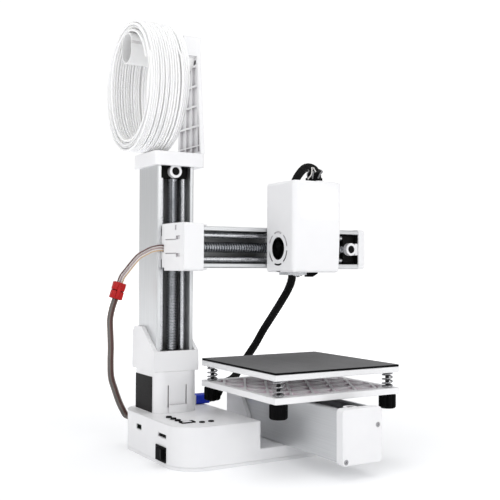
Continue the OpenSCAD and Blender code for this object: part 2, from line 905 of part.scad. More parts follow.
// The ring's outline; in takes it smaller on both sides
module coil_outline(in) {
    difference() {
        polygon(oval(coil_half - in, coil_rise - in));
        polygon(oval(coil_half - coil_t + in, coil_rise - coil_t + in));
    }
}

module filament_coil() {
    color("snow") translate([bar_left - coil_gap - coil_w, spool_y, coil_high - coil_rise]) {
        along_x(coil_w) coil_outline(coil_rim);
        translate([coil_rim, 0, 0]) along_x(coil_w - 2*coil_rim) coil_outline(0);
    }
}

// --- rail ---

front_cap_t = 6;
rail_over = 1;

motor_start = 0.3;
y_flange = motor_start + y_motor_l + 1;

module y_collar() {
    end_t = 2;
    color("white") {
        on_rail() translate([0, 0, -end_t]) collar(2.7, 0);
        translate([rail_x - prof_w/2 - seat_gap, rail_back + 0.2, platform_h])
            cube([prof_w + 2*seat_gap, end_t - 0.2, prof_d]);
    }
}

module y_motor() {
    shaft_in = 6;
    color("dimgray") on_rail() difference() {
        translate([0, drive_v, motor_start]) cylinder(d = round_motor_d, h = y_motor_l);
        translate([0, drive_v, motor_start + y_motor_l - shaft_in])
            cylinder(r = journal_bore, h = shaft_in + cut);
    }
    color("silver") on_rail() motor_flange(y_flange);
}

module y_profile() {
    color("silver") on_rail() channel(rail_l);
}

module y_lead_screw() {
    color("lightsteelblue") on_rail()
        lead_screw(y_motor_l - 5, y_flange + flange_t + 0.5, y_boss - boss_r - slide_gap);
}

cap_screw_r = 1.6;
cap_screw_deep = 1.2;
cap_screw_places = [[prof_w/2 - 2, prof_d - 1.4], [2.1 - prof_w/2, 10.5]];

module front_cap_screws(r, grow) {
    for (place = cap_screw_places)
        translate([place[0], place[1], rail_l + front_cap_t - cap_screw_deep])
            cylinder(r = r, h = cap_screw_deep + grow);
}

module y_front_cap() {
    color("white") on_rail() difference() {
        translate([0, 0, rail_l]) profile_cap(front_cap_t, rail_over);
        front_cap_screws(cap_screw_r + seat_gap, cut);
    }
}

module cap_screws() {
    color("black") on_rail() difference() {
        front_cap_screws(cap_screw_r, -0.2);
        for (place = cap_screw_places)
            translate([place[0], place[1], rail_l + front_cap_t - cap_screw_deep/2])
                cylinder(r = cap_screw_r/2, h = cap_screw_deep, $fn = 6);
    }
}

// --- cable plug at the foot ---

// The port block stands on the box beside the column, low enough for the bed's knobs to pass over
tower_w = 8.5;
tower_d = 12;
tower_h = 7.2;
tower_right = column_x + prof_w/2 + 11.5;
tower_y = column_y + 17.5;
port_wall = 0.5;
port_deep = 3;
plug_play = 0.2;
plug_y = tower_y + tower_d/2;
plug_z = box_h + tower_h/2 + 0.1;
plug_h = 6.8;
plug_w = 9.4;
plug_l = 12.5;
boot_l = 3;
boot_r = 3.3;

module port_block() {
    color("whitesmoke") difference() {
        translate([tower_right - tower_w, tower_y, box_h]) cube([tower_w, tower_d, tower_h]);
        translate([tower_right - port_deep, plug_y - plug_w/2 + port_wall, plug_z - plug_h/2 + port_wall])
            cube([port_deep + cut, plug_w - 2*port_wall, plug_h - 2*port_wall]);
    }
}

module data_plug() {
    tongue_in = port_wall + plug_play;
    tongue_l = port_deep - plug_play;
    color("mediumblue") {
        translate([tower_right, plug_y - plug_w/2, plug_z - plug_h/2]) cube([plug_l, plug_w, plug_h]);
        translate([tower_right - tongue_l, plug_y - plug_w/2 + tongue_in, plug_z - plug_h/2 + tongue_in])
            cube([tongue_l, plug_w - 2*tongue_in, plug_h - 2*tongue_in]);
    }
    color("black") translate([tower_right + plug_l, plug_y, plug_z]) rod_x(boot_r, boot_l);
}

// --- carriage and arm ---

carriage_wall = 1.5;
wires_y = carriage_back - 2.1;
wires_z = arm_z - 0.7;

module carriage_shell() {
    height = carriage_drop + carriage_up;
    low = arm_z - carriage_drop;
    flange_w = 3;
    flange_over = 0.8;
    motor_room = 0.3;
    step_d = 4.1;
    step_h = 2.2;
    slit_w = 0.6;
    slit_deep = 0.8;
    color("white") difference() {
        union() {
            translate([carriage_left, 0, 0]) along_x(carriage_w)
                translate([carriage_front, low]) round_rect(carriage_d, height, 2);
            translate([carriage_right, 0, 0]) along_x(flange_w)
                translate([arm_y - flange_over, arm_z - prof_w/2 - 1.4])
                    round_rect(prof_d + flange_over + arm_back_wall, prof_w + 2.8, 1.3);
        }
        // Pocket for the end of the arm, open to the front
        translate([carriage_right, 0, 0]) along_x(flange_w + cut)
            translate([arm_y - flange_over - cut, arm_z - prof_w/2 - seat_gap])
                square([prof_d + flange_over + cut + seat_gap, prof_w + 2*seat_gap]);
        // Room for the motor
        translate([carriage_left + carriage_wall, arm_y + drive_v, arm_z])
            rod_x(round_motor_d/2 + motor_room, carriage_w - 3.5);
        // Shaft and rod holes toward the arm
        translate([carriage_right - 2 - cut, arm_y + drive_v, arm_z]) rod_x(shaft_hole, 2 + 2*cut);
        on_arm() rod_bores(-1.5, cut);
        // Step over the collar at the lowest place
        translate([carriage_left - cut, carriage_back - step_d, low - cut])
            cube([carriage_w + flange_w + 2*cut, step_d + cut, step_h + cut]);
        // Spring latch in the left face: two slits, each with a recess at its front end
        for (side = [-1, 1]) {
            translate([carriage_left - cut, arm_y + 10.5, arm_z + 0.4 + side*4.8 - slit_w/2])
                cube([cut + slit_deep, 17, slit_w]);
            translate([carriage_left - cut, arm_y + 4.4, arm_z + 0.4 + side*6 - 1.2])
                cube([cut + 1.2, 6.1, 2.4]);
        }
        translate([carriage_left - cut, arm_y + 9.6, arm_z + 11.8]) cube([cut + slit_deep, 2.6, 3.2]);
        // Room behind the motor, and the mouth for the band of wires
        translate([carriage_left + carriage_wall, arm_y + 17.5, low + 2.6])
            cube([carriage_w - 3.5, 13.5, height - 5]);
        translate([carriage_left - cut, wires_y - ribbon_t/2 - 0.4, wires_z - band_w/2 - 0.4])
            cube([carriage_wall + 2*cut, ribbon_t + 0.8, band_w + 0.8]);
    }
}

module z_slider() {
    color("whitesmoke") on_column()
        slider(-carriage_gap, z_slider_from, z_slider_l);
}

module x_motor() {
    shaft_in = 4.5;
    at = carriage_left + carriage_wall + 0.2;
    color("dimgray") difference() {
        translate([at, arm_y + drive_v, arm_z]) rod_x(round_motor_d/2, x_motor_l);
        translate([at + x_motor_l - shaft_in, arm_y + drive_v, arm_z]) rod_x(journal_bore, shaft_in + cut);
    }
}

module x_profile() {
    color("silver") on_arm() channel(arm_l);
}

module x_guide_rods() {
    color("gainsboro") on_arm() guide_rods(-1.4, x_boss - 2);
}

module x_lead_screw() {
    color("lightsteelblue") on_arm() lead_screw(-6.4, 1.5, x_boss - boss_r - slide_gap);
}

module x_end_clip() {
    color("white") on_arm() end_clip(arm_l, boss_back);
}

module x_end_cap() {
    color("white") on_arm() translate([0, 0, arm_l]) profile_cap(5.7, 0.5);
}

clip_x = rail_x + 32;
clip_z = arm_z + 4.5;
clip_h = 8;
clip_wall = 1.8;
clip_y = arm_y + prof_d + 6;

module cable_clip() {
    outer = cable_d/2 + clip_wall;
    color("whitesmoke") difference() {
        union() {
            translate([clip_x, clip_y, clip_z - clip_h/2]) cylinder(r = outer, h = clip_h);
            translate([clip_x - outer, arm_y + prof_d, clip_z - clip_h/2])
                cube([2*outer, clip_y - arm_y - prof_d, clip_h]);
        }
        translate([clip_x, clip_y, clip_z - clip_h/2 - cut])
            cylinder(d = cable_d + 2*run_fit, h = clip_h + 2*cut);
    }
}

// --- head ---

sink_x = rail_x;
cover_rear = head_rear - head_back_t;
cover_d = head_d - head_back_t;
fan_x = head_left + head_wall + 0.2;
fan_up = 16.6;
fan_y = cover_rear - 0.1 - fan_w/2;
fan_z = head_low + fan_up;
gear_x = sink_x + filament_d/2 + drive_gear_d/2 - 0.1;
idler_x = sink_x - filament_d/2 - idler_d/2;
gear_up = 43.8;
gear_z = head_low + gear_up;
gear_l = 8;
cable_x = rail_x + 20.5;
cable_y = head_rear - 12.5;
motor_y = cover_rear - 10.2;
duct_x = rail_x + 5.6;
head_edge = 2.2;

// The head seen from the front, in (X, Z), narrower toward its foot
module head_front_outline(inset) {
    r = head_edge - inset/2;
    left = head_left + inset + r;
    right = head_left + head_w - inset - r;
    low = head_low + inset + r;
    high = head_high - inset - r;
    hull() {
        translate([left, low]) circle(r);
        translate([left, high]) circle(r);
        translate([right - head_taper, low]) circle(r);
        translate([right, high]) circle(r);
    }
}

// Extrude an outline drawn in (X, Z) along +Y
module along_y(l) {
    translate([0, l, 0]) rotate([90, 0, 0]) linear_extrude(l) children();
}

module head_back() {
    color("white") translate([0, cover_rear, 0]) along_y(head_back_t) head_front_outline(0);
    // Pin of the idler
    color("silver") translate([idler_x, nozzle_y - 3.4, gear_z]) rod_y(1.5, cover_rear - nozzle_y + 3.4);
    // Arm slider
    color("whitesmoke") on_arm() slider(-head_gap, rail_x - carriage_right - x_slider_l/2, x_slider_l);
}

// The cover's body: its outline from the front, from the side and from above
module head_body() {
    intersection() {
        translate([0, head_front, 0]) along_y(cover_d) head_front_outline(0);
        translate([head_left - cut, 0, 0]) along_x(head_w + 2*cut) translate([head_front, head_low])
            round_rect(cover_d + head_r, head_h, head_edge);
        translate([head_left, head_front, head_low - cut]) linear_extrude(head_h + 2*cut)
            round_rect(head_w, cover_d + head_r, head_r);
    }
}

module head_cover() {
    arc_slots = 6;
    arc_r = fan_hole_r + 2.8;
    arc_w = 1.2;
    bar_w = 3;
    color("white") difference() {
        head_body();
        translate([0, head_front + head_wall, 0]) along_y(cover_d) head_front_outline(head_wall);
        // Mouth of the hot end and of the air duct
        translate([sink_x - 11.6, nozzle_y - 12, head_low - cut])
            cube([duct_x + duct_w + 0.4 - sink_x + 11.6, 21, head_wall + 2*cut]);
        // Fan opening and the arc slots round it
        translate([head_left - cut, fan_y, fan_z]) rod_x(fan_hole_r, head_wall + 2*cut);
        translate([head_left - cut, fan_y, fan_z]) difference() {
            rod_x(arc_r + arc_w, cut + 0.8);
            translate([-cut, 0, 0]) rod_x(arc_r, 0.8 + 3*cut);
            for (a = [0:arc_slots - 1])
                rotate([a*360/arc_slots, 0, 0]) translate([-cut, 0, -bar_w/2])
                    cube([0.8 + 3*cut, arc_r + 2*arc_w, bar_w]);
        }
        // Filament entry in the top
        translate([sink_x, nozzle_y, head_high - head_wall - cut]) cylinder(r = 2.4, h = head_wall + 2*cut);
    }
    // Collar that the cable leaves by
    color("ivory") translate([cable_x, cable_y, head_high]) cylinder(r = cable_d/2 + 1.2, h = 2.5);
}

// Extruder motor with the plate that guides the filament
module extruder() {
    motor_w = 22;
    motor_l = 9;
    color("dimgray") difference() {
        translate([gear_x - motor_w/2, cover_rear - 0.2 - motor_l, gear_z - motor_w/2])
            cube([motor_w, motor_l, motor_w]);
        translate([gear_x, cover_rear - 0.2 - motor_l - cut, gear_z]) rod_y(journal_bore, 6 + cut);
        translate([idler_x, cover_rear - motor_l - 1 - cut, gear_z]) rod_y(3, motor_l + 2 + 2*cut);
    }
    guide_low = head_low + 30.8;
    guide_high = gear_z - 6;
    color("silver") difference() {
        translate([sink_x - 4, nozzle_y - 4, guide_low]) cube([8, 8, guide_high - guide_low]);
        translate([sink_x, nozzle_y, guide_low - cut])
            cylinder(d = filament_d + 0.3, h = guide_high - guide_low + 2*cut);
    }
}

module drive_gear() {
    color("goldenrod") difference() {
        translate([gear_x, nozzle_y - gear_l/2, gear_z]) rod_y(drive_gear_d/2, gear_l);
        for (a = [0:15])
            translate([gear_x, nozzle_y - gear_l/2 - cut, gear_z]) rotate([0, a*22.5, 0])
                translate([drive_gear_d/2 + 0.35, 0, 0]) rod_y(0.7, gear_l + 2*cut);
    }
    color("silver") translate([gear_x, nozzle_y - gear_l/2, gear_z])
        rod_y(journal_d/2, gear_l/2 + motor_y - nozzle_y + 6);
}

module idler() {
    color("silver") difference() {
        translate([idler_x, nozzle_y - 2.5, gear_z]) rod_y(idler_d/2 - 0.1, 5);
        translate([idler_x, nozzle_y - 2.5 - cut, gear_z]) rod_y(1.5 + run_fit, 5 + 2*cut);
    }
}

// Heat sink, heater block and nozzle in one column
module hot_end() {
    fin_t = 1;
    fin_pitch = 2.2;
    fins = 8;
    sink_z = head_low + 11;
    block_low = nozzle_z + 1.6;
    block_h = 6;
    block_w = 16;
    block_left = sink_x - 11.3;
    color("silver") difference() {
        translate([sink_x, nozzle_y, 0]) union() {
            translate([0, 0, sink_z]) cylinder(d = sink_d*0.55, h = fins*fin_pitch + 2.2);
            for (i = [0:fins - 1])
                translate([0, 0, sink_z + i*fin_pitch]) cylinder(d = sink_d, h = fin_t);
            translate([0, 0, block_low + block_h]) cylinder(r = 1.9, h = sink_z - block_low - block_h);
            translate([0, 0, block_low - 0.6]) cylinder(r = 3, h = 0.6);
        }
        translate([sink_x, nozzle_y, nozzle_z]) cylinder(d = filament_d + 0.2, h = 50);
    }
    color("gray") difference() {
        translate([block_left, nozzle_y - 4.5, block_low]) cube([block_w, 11, block_h]);
        translate([sink_x, nozzle_y, nozzle_z]) cylinder(d = filament_d + 0.2, h = 50);
    }
    color("gold") translate([sink_x, nozzle_y, nozzle_z]) difference() {
        cylinder(r1 = 0.6, r2 = 2.2, h = 1);
        translate([0, 0, -cut]) cylinder(r = 0.25, h = 1 + 2*cut);
    }
}

module fan_frame() {
    pin_r = 1;
    color("black") {
        difference() {
            translate([fan_x, fan_y - fan_w/2, fan_z - fan_w/2]) cube([fan_t, fan_w, fan_w]);
            translate([fan_x - cut, fan_y, fan_z]) rod_x(10.4, fan_t + 2*cut);
        }
        translate([fan_x + fan_t - 0.8, fan_y, fan_z]) {
            rod_x(4.5, 0.8);
            for (a = [0:2])
                rotate([a*120, 0, 0]) translate([0, 4, -0.6]) cube([0.8, 6.6, 1.2]);
            translate([-fan_t + 1.6, 0, 0]) rod_x(pin_r, fan_t - 1.5);
        }
        // Air duct beside the nozzle, with a slanted mouth
        translate([0, nozzle_y - 6.2, 0]) along_y(6) polygon([
            [duct_x, nozzle_z + 0.3],
            [duct_x + 3, nozzle_z + 0.3],
            [duct_x + duct_w, nozzle_z + 2.6],
            [duct_x + duct_w, nozzle_z + 6.6],
            [duct_x, nozzle_z + 6.6],
        ]);
    }
}

module fan_rotor() {
    blades = 7;
    hub_l = fan_t - 1.5;
    color("black") translate([fan_x + 0.4, fan_y, fan_z]) {
        difference() {
            rod_x(4.4, hub_l);
            translate([-cut, 0, 0]) rod_x(1 + run_fit, hub_l + 2*cut);
        }
        for (i = [0:blades - 1])
            rotate([i*360/blades, 0, 0]) translate([hub_l/2, 4, 0]) rotate([0, 35, 0])
                translate([-0.3, 0, -1.9]) cube([0.6, 5.8, 3.8]);
    }
}

// --- bed ---

bed_y = nozzle_y;
bed_left = rail_x - bed_w/2;
bed_front = bed_y - bed_w/2;
level_off = bed_w/2 - level_inset;
level_places = [for (x = [-level_off, level_off], y = [-level_off, level_off]) [rail_x + x, bed_y + y]];

module at_levels() {
    for (p = level_places)
        translate([p[0], p[1], 0]) children();
}

// One triangular cell of the lattice, corner up or corner down
module lattice_cell(up) {
    r = lattice_pitch/sqrt(3) - lattice_rib;
    rotate(up ? 90 : -90) circle(r, $fn = 3);
}

module lattice_cells() {
    row_h = lattice_pitch*sqrt(3)/2;
    rows = ceil(bed_w/2/row_h);
    columns = ceil(bed_w/2/lattice_pitch);
    for (row = [-rows:rows - 1], column = [-columns:columns]) {
        shift = (row % 2 == 0) ? 0 : lattice_pitch/2;
        translate([column*lattice_pitch + shift, row*row_h + row_h/3]) lattice_cell(true);
        translate([(column + 0.5)*lattice_pitch + shift, row*row_h + 2*row_h/3]) lattice_cell(false);
    }
}

plate_r = 1.2;

// The lower plate with its lattice and the slider under it
module lower_plate() {
    rim = 4;
    floor_t = 1.5;
    boss_pad = 6.5;
    color("white") difference() {
        translate([bed_left, bed_front, lower_z]) linear_extrude(lower_t)
            round_rect(bed_w, bed_w, plate_r);
        translate([rail_x, bed_y, lower_z + floor_t]) linear_extrude(lower_t) difference() {
            intersection() {
                square(bed_w - 2*rim, center = true);
                lattice_cells();
            }
            for (x = [-level_off, level_off], y = [-level_off, level_off])
                translate([x, y]) circle(boss_pad);
        }
        at_levels() translate([0, 0, lower_z - cut]) cylinder(r = level_bore, h = lower_t + 2*cut);
    }
    color("whitesmoke") on_rail() slider(-bed_gap, rail_back - bed_y - y_slider_l/2, y_slider_l);
}

// The upper plate with its build sheet and levelling screws
module upper_plate() {
    screw_in = 3;
    screw_low = lower_z - 8;
    color("white") difference() {
        translate([bed_left, bed_front, upper_z]) linear_extrude(upper_t)
            round_rect(bed_w, bed_w, plate_r);
        at_levels() translate([0, 0, upper_z - cut]) cylinder(d = level_screw_d, h = screw_in + cut);
    }
    color("dimgray") translate([bed_left, bed_front, sheet_z]) linear_extrude(sheet_t)
        round_rect(bed_w, bed_w, plate_r);
    color("black") at_levels() translate([0, 0, screw_low])
        cylinder(d = level_screw_d, h = upper_z + screw_in - screw_low);
}

// --- swept tubes ---

// Directions along a route
function tangents(p) = [
    for (i = [0:len(p) - 1])
        unit(p[min(i + 1, len(p) - 1)] - p[max(i - 1, 0)])
];

// Carry a side direction along the route without twist
function carry(t, n, i = 0) = i == len(t) ? [] :
    let (m = unit(n - t[i]*(n*t[i])))
    concat([m], carry(t, m, i + 1));

// Sweep a section, a list of [side, rise] points, along a route
module sweep(route, section, side) {
    t = tangents(route);
    n = carry(t, side);
    k = len(section);
    last = len(route) - 1;
    points = [
        for (i = [0:last])
            for (s = section)
                route[i] + n[i]*s[0] + cross(t[i], n[i])*s[1]
    ];
    faces = concat(
        [[for (j = [k - 1:-1:0]) j]],
        [for (i = [0:last - 1])
            for (j = [0:k - 1])
                [i*k + j, i*k + (j + 1)%k, (i + 1)*k + (j + 1)%k, (i + 1)*k + j]],
        [[for (j = [0:k - 1]) last*k + j]]
    );
    polyhedron(points, faces, convexity = 4);
}

function ring(d, sides) = [for (a = [0:sides - 1]) [cos(a*360/sides), sin(a*360/sides)]*d/2];

// An eight-sided flat section
function flat(w, t) = [
    [w/2, t/4], [w/2 - t/4, t/2], [t/4 - w/2, t/2], [-w/2, t/4],
    [-w/2, -t/4], [t/4 - w/2, -t/2], [w/2 - t/4, -t/2], [w/2, -t/4],
];

// A route moved so that its ends lie at two places; what lies between follows in proportion
function pulled(route, from, to) =
    let (last = len(route) - 1)
    [for (i = [0:last]) route[i] + (from - route[0])*(1 - i/last) + (to - route[last])*i/last];

clip_at = [clip_x, clip_y, clip_z];
connector_top = [column_x - 34.5, column_y + 20, arm_z - 26];
connector_low = connector_top - [3, 0, 10];

// From the head's top over the arm and down to the clip behind it
cable_upper_route = pulled([
    [58, -38, 194.5], [58.2, -37.6, 197.5], [60, -32, 202.5], [62.5, -23, 205.5], [65, -13, 206.5],
    [67, -4, 204.5], [68.5, 5, 199.5], [69.5, 12, 191], [69.5, 15, 180], [69.5, 15, 165], [69.5, 15, 150.5],
], [cable_x, cable_y, head_high + 3], clip_at + [0, 0, 0.5]);
// From the clip down behind the bed to the plug at the foot
cable_lower_route = pulled([
    [69.5, 15, 149.7], [69.5, 15, 142], [71, 15.5, 133], [73.5, 17.5, 124], [74, 23, 115], [73, 32, 104.5],
    [72.5, 45, 92], [71.5, 57, 80], [67.5, 62.5, 68.5], [62, 66.5, 58], [55, 66, 49.5], [47, 60.5, 43.4],
    [38.5, 52.5, 41.6], [30, 44, 41.6], [24, 38.5, 41], [19.5, 35.3, 38.8], [16.8, 33.9, 35.4],
    [14.6, 33.5, 33.2], [12.6, 33.5, 32.3], [10.4, 33.5, 32.2],
], clip_at - [0, 0, 0.3], [tower_right + plug_l + boot_l + 0.4, plug_y, plug_z]);
// From the carriage's left side to the red connector
ribbon_upper_route = pulled([
    [-42, 7.5, 144.8], [-45, 8, 145], [-49.5, 10.5, 144], [-53, 13, 142], [-57, 16.5, 139],
    [-60, 21, 134], [-62.3, 25.5, 129], [-64.5, 29, 124.5], [-65.8, 30, 120.2],
], [carriage_left + 0.5, wires_y, wires_z], connector_top + [0.2, 0, 0.7]);
// From the connector down to the back of the foot
ribbon_lower_route = pulled([
    [-69.2, 30, 108.8], [-71.5, 30, 102], [-73, 30, 94], [-72.5, 30.5, 84.5], [-71.5, 32, 74],
    [-70.5, 35, 64], [-68, 40, 52], [-63, 45.5, 42], [-57.5, 51, 32], [-52.5, 56, 25],
    [-49.5, 57, 20.5], [-49, 49.5, 20],
], connector_low - [0.2, 0, 0.7], [ribbon_x, foot_back - 1.5, ribbon_exit_z]);

module cable_upper() {
    color("black") sweep(cable_upper_route, ring(cable_d, 10), [1, 0, 0]);
}

module cable_lower() {
    color("black") sweep(cable_lower_route, ring(cable_d, 10), [1, 0, 0]);
}

module ribbon_upper() {
    color("firebrick") sweep(ribbon_upper_route, flat(band_w, ribbon_t), [0, 0, 1]);
}

// The connector lies along the line from one cable's end to the other's
module ribbon_connector() {
    along = connector_top - connector_low;
    color("red") translate((connector_top + connector_low)/2) rotate([0, atan2(along[0], along[2]), 0])
        cube([8.8, 4.5, norm(along) - 0.6], center = true);
}

module ribbon_lower() {
    color("rosybrown") sweep(ribbon_lower_route, flat(ribbon_w, ribbon_t), [1, 0, 0]);
}

spring_r = 3.3;
wire_d = 1.1;
spring_turns = 4;
spring_steps = 12;

module level_springs() {
    rise = spring_l - wire_d - 0.1;
    steps = spring_turns*spring_steps;
    helix = [
        for (i = [0:steps])
            let (a = i*360/spring_steps)
            [spring_r*cos(a), spring_r*sin(a), spring_z + wire_d/2 + 0.05 + rise*i/steps]
    ];
    color("silver") at_levels() sweep(helix, ring(wire_d, 6), [1, 0, 0]);
}

module level_knob(i) {
    grooves = 8;
    slope = 0.9;
    low = lower_z - slide_gap - knob_h;
    color("black") translate([level_places[i][0], level_places[i][1], low]) difference() {
        union() {
            cylinder(d1 = knob_d - 2*slope, d2 = knob_d, h = slope);
            translate([0, 0, slope]) cylinder(d = knob_d, h = knob_h - 2*slope);
            translate([0, 0, knob_h - slope]) cylinder(d1 = knob_d, d2 = knob_d - 2*slope, h = slope);
        }
        for (a = [0:grooves - 1])
            rotate(a*360/grooves) translate([knob_d/2 + 1, 0, -cut]) cylinder(r = 1.8, h = knob_h + 2*cut);
        translate([0, 0, -cut]) cylinder(r = level_bore, h = knob_h + 2*cut);
    }
}

base_shell();
base_plate();
grip_pads();
main_board();
column_socket();
column_collar();
z_motor();
z_profile();
frame_rods();
frame_clips();
top_cap();
spool_upright();
spool_peg();
filament_coil();
y_collar();
y_motor();
y_profile();
y_front_cap();
cap_screws();
port_block();
data_plug();
dc_jack();
switch_bezel();
power_rocker();
push_button(0);  // button_1
push_button(1);  // button_2
push_button(2);  // button_3
mode_slider();
indicator_lights();
z_lead_screw();
x_lead_screw();
y_lead_screw();
carriage_shell();
z_slider();
x_motor();
x_profile();
x_guide_rods();
x_end_clip();
x_end_cap();
cable_clip();
ribbon_upper();
ribbon_connector();
ribbon_lower();
head_back();
head_cover();
extruder();
drive_gear();
idler();
hot_end();
fan_frame();
fan_rotor();
cable_upper();
cable_lower();
lower_plate();
upper_plate();
level_springs();
level_knob(0);  // level_knob_1
level_knob(1);  // level_knob_2
level_knob(2);  // level_knob_3
level_knob(3);  // level_knob_4
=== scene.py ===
"""A small desktop printer for plastic filament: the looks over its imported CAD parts."""

import math
import random

import bmesh
import bpy
from mathutils import Matrix, Vector


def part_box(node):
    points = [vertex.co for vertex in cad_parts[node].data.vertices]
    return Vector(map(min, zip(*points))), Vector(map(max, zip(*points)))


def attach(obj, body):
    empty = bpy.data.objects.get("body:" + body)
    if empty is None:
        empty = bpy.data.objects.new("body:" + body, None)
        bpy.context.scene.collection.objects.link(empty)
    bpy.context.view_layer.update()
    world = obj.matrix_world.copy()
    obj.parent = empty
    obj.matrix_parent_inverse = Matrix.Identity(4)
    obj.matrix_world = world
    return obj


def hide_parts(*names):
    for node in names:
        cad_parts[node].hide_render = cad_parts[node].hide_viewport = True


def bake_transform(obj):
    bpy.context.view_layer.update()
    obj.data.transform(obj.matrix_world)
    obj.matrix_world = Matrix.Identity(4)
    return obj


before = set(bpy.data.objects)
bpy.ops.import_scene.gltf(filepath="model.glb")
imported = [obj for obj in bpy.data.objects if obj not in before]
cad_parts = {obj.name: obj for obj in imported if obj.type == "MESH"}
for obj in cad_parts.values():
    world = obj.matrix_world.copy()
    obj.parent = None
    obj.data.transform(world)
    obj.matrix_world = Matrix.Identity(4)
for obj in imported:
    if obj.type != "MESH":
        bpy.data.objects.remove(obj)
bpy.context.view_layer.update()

MM = 0.001
X, Y, Z = range(3)
RIGHT = (1, 0, 0)
FRONT = (0, -1, 0)
UP = (0, 0, 1)

# The range that a noise texture mostly keeps to
NOISE_LOW = 0.3
NOISE_HIGH = 0.7


# --- material helpers ---

def material_tree(name):
    """A new material, its node tree and its shader."""
    material = bpy.data.materials.new(name)
    material.use_nodes = True
    tree = material.node_tree
    return material, tree, tree.nodes["Principled BSDF"]


def add(tree, kind, values=None, **settings):
    """A node of one kind, with its settings and its sockets' values."""
    node = tree.nodes.new(kind)
    for key, value in settings.items():
        setattr(node, key, value)
    for key, value in (values or {}).items():
        node.inputs[key].default_value = value
    return node


def place(tree, scale=(1, 1, 1)):
    """Object coordinates in metres, stretched by scale."""
    where = add(tree, "ShaderNodeTexCoord")
    mapping = add(tree, "ShaderNodeMapping", {"Scale": scale})
    tree.links.new(where.outputs["Object"], mapping.inputs["Vector"])
    return mapping.outputs["Vector"]


def noise(tree, vector, scale, detail, roughness=0.5):
    """A noise texture's plain output."""
    node = add(tree, "ShaderNodeTexNoise", {"Scale": scale, "Detail": detail, "Roughness": roughness})
    tree.links.new(vector, node.inputs["Vector"])
    return node.outputs["Fac"]


def ramp(tree, value, low, high, from_low=0.0, from_high=1.0):
    """A value moved from one range to another."""
    node = add(tree, "ShaderNodeMapRange", {1: from_low, 2: from_high, 3: low, 4: high})
    tree.links.new(value, node.inputs[0])
    return node.outputs[0]


def spread(tree, value, low=0.0, high=1.0):
    """A noise moved from the range that it mostly keeps to, to another one."""
    return ramp(tree, value, low, high, NOISE_LOW, NOISE_HIGH)


def tint(tree, factor, first, second):
    """A mix of two colours."""
    node = add(tree, "ShaderNodeMix", {6: (*first, 1), 7: (*second, 1)}, data_type="RGBA")
    tree.links.new(factor, node.inputs[0])
    return node.outputs[2]


def bump(tree, shader, height, strength, distance, edge=0.0):
    """Relief on a shader, over edges softened by a small radius."""
    node = add(tree, "ShaderNodeBump", {"Strength": strength, "Distance": distance})
    tree.links.new(height, node.inputs["Height"])
    if edge:
        soft = add(tree, "ShaderNodeBevel", {"Radius": edge}, samples=4)
        tree.links.new(soft.outputs["Normal"], node.inputs["Normal"])
    tree.links.new(node.outputs["Normal"], shader.inputs["Normal"])


def shaded(tree, colour, dark, reach, power=1.0):
    """A colour that turns to a dark one where the surface is closed in within reach, as painted shade."""
    closed = add(tree, "ShaderNodeAmbientOcclusion", {"Distance": reach}, samples=6, only_local=True)
    all_dark = 0.25
    all_clear = all_dark + 0.6*power
    open_share = ramp(tree, closed.outputs["AO"], 0, 1, all_dark, all_clear)
    node = add(tree, "ShaderNodeMix", {6: (*dark, 1)}, data_type="RGBA")
    tree.links.new(open_share, node.inputs[0])
    tree.links.new(colour, node.inputs[7])
    return node.outputs[2]


def moulded(name, colour, shade, rough=(0.32, 0.46), grain=2600, edge=0.5*MM, gloss=0.5, crevice_shade=None):
    """Moulded plastic: fine grain, slow sink marks, a faint change of tone, and painted shade in closed-in
    places when a crevice shade is given.
    """
    material, tree, shader = material_tree(name)
    vector = place(tree)
    slow = noise(tree, vector, 35, 3)
    fine = noise(tree, vector, grain, 3, 0.6)
    tone = tint(tree, spread(tree, slow), colour, shade)
    # Painted shade: the tone turns to the crevice shade where the surface is closed in
    if crevice_shade:
        tone = shaded(tree, tone, crevice_shade, 5*MM)
    tree.links.new(tone, shader.inputs["Base Color"])
    tree.links.new(spread(tree, fine, *rough), shader.inputs["Roughness"])
    bump(tree, shader, fine, 0.12, 0.05*MM, edge)
    shader.inputs["Specular IOR Level"].default_value = gloss
    return material


def extruded(name, axis, colour, shade):
    """Anodised aluminium drawn along one axis: long die lines, fine speckle, and painted shade where the
    profile closes in on itself.
    """
    material, tree, shader = material_tree(name)
    stretch = [1.0, 1.0, 1.0]
    stretch[axis] = 0.01
    lines = noise(tree, place(tree, stretch), 1700, 4, 0.65)
    speckle = noise(tree, place(tree), 5200, 2)
    tone = tint(tree, ramp(tree, lines, 0, 1, 0.35, 0.65), colour, shade)
    # Painted shade: near black inside the channel, where the profile closes in on itself
    channel_shade = (0.02, 0.02, 0.023)
    tree.links.new(shaded(tree, tone, channel_shade, 18*MM, 1.1), shader.inputs["Base Color"])
    tree.links.new(spread(tree, lines, 0.28, 0.42), shader.inputs["Roughness"])
    both = add(tree, "ShaderNodeMath", operation="ADD")
    tree.links.new(lines, both.inputs[0])
    tree.links.new(ramp(tree, speckle, 0, 0.4), both.inputs[1])
    bump(tree, shader, both.outputs[0], 0.05, 0.02*MM, 0.25*MM)
    shader.inputs["Metallic"].default_value = 0.8
    return material


def metal(name, colour, shade, rough=(0.2, 0.34), edge=0.15*MM):
    """Machined metal with fine wear."""
    material, tree, shader = material_tree(name)
    vector = place(tree)
    wear = noise(tree, vector, 1500, 4, 0.6)
    slow = noise(tree, vector, 120, 2)
    tree.links.new(tint(tree, spread(tree, slow), colour, shade), shader.inputs["Base Color"])
    tree.links.new(spread(tree, wear, *rough), shader.inputs["Roughness"])
    bump(tree, shader, wear, 0.1, 0.03*MM, edge)
    shader.inputs["Metallic"].default_value = 1.0
    return material


# --- mesh helpers ---

def unit(axis):
    """The direction of one axis."""
    return Vector([float(i == axis) for i in range(3)])


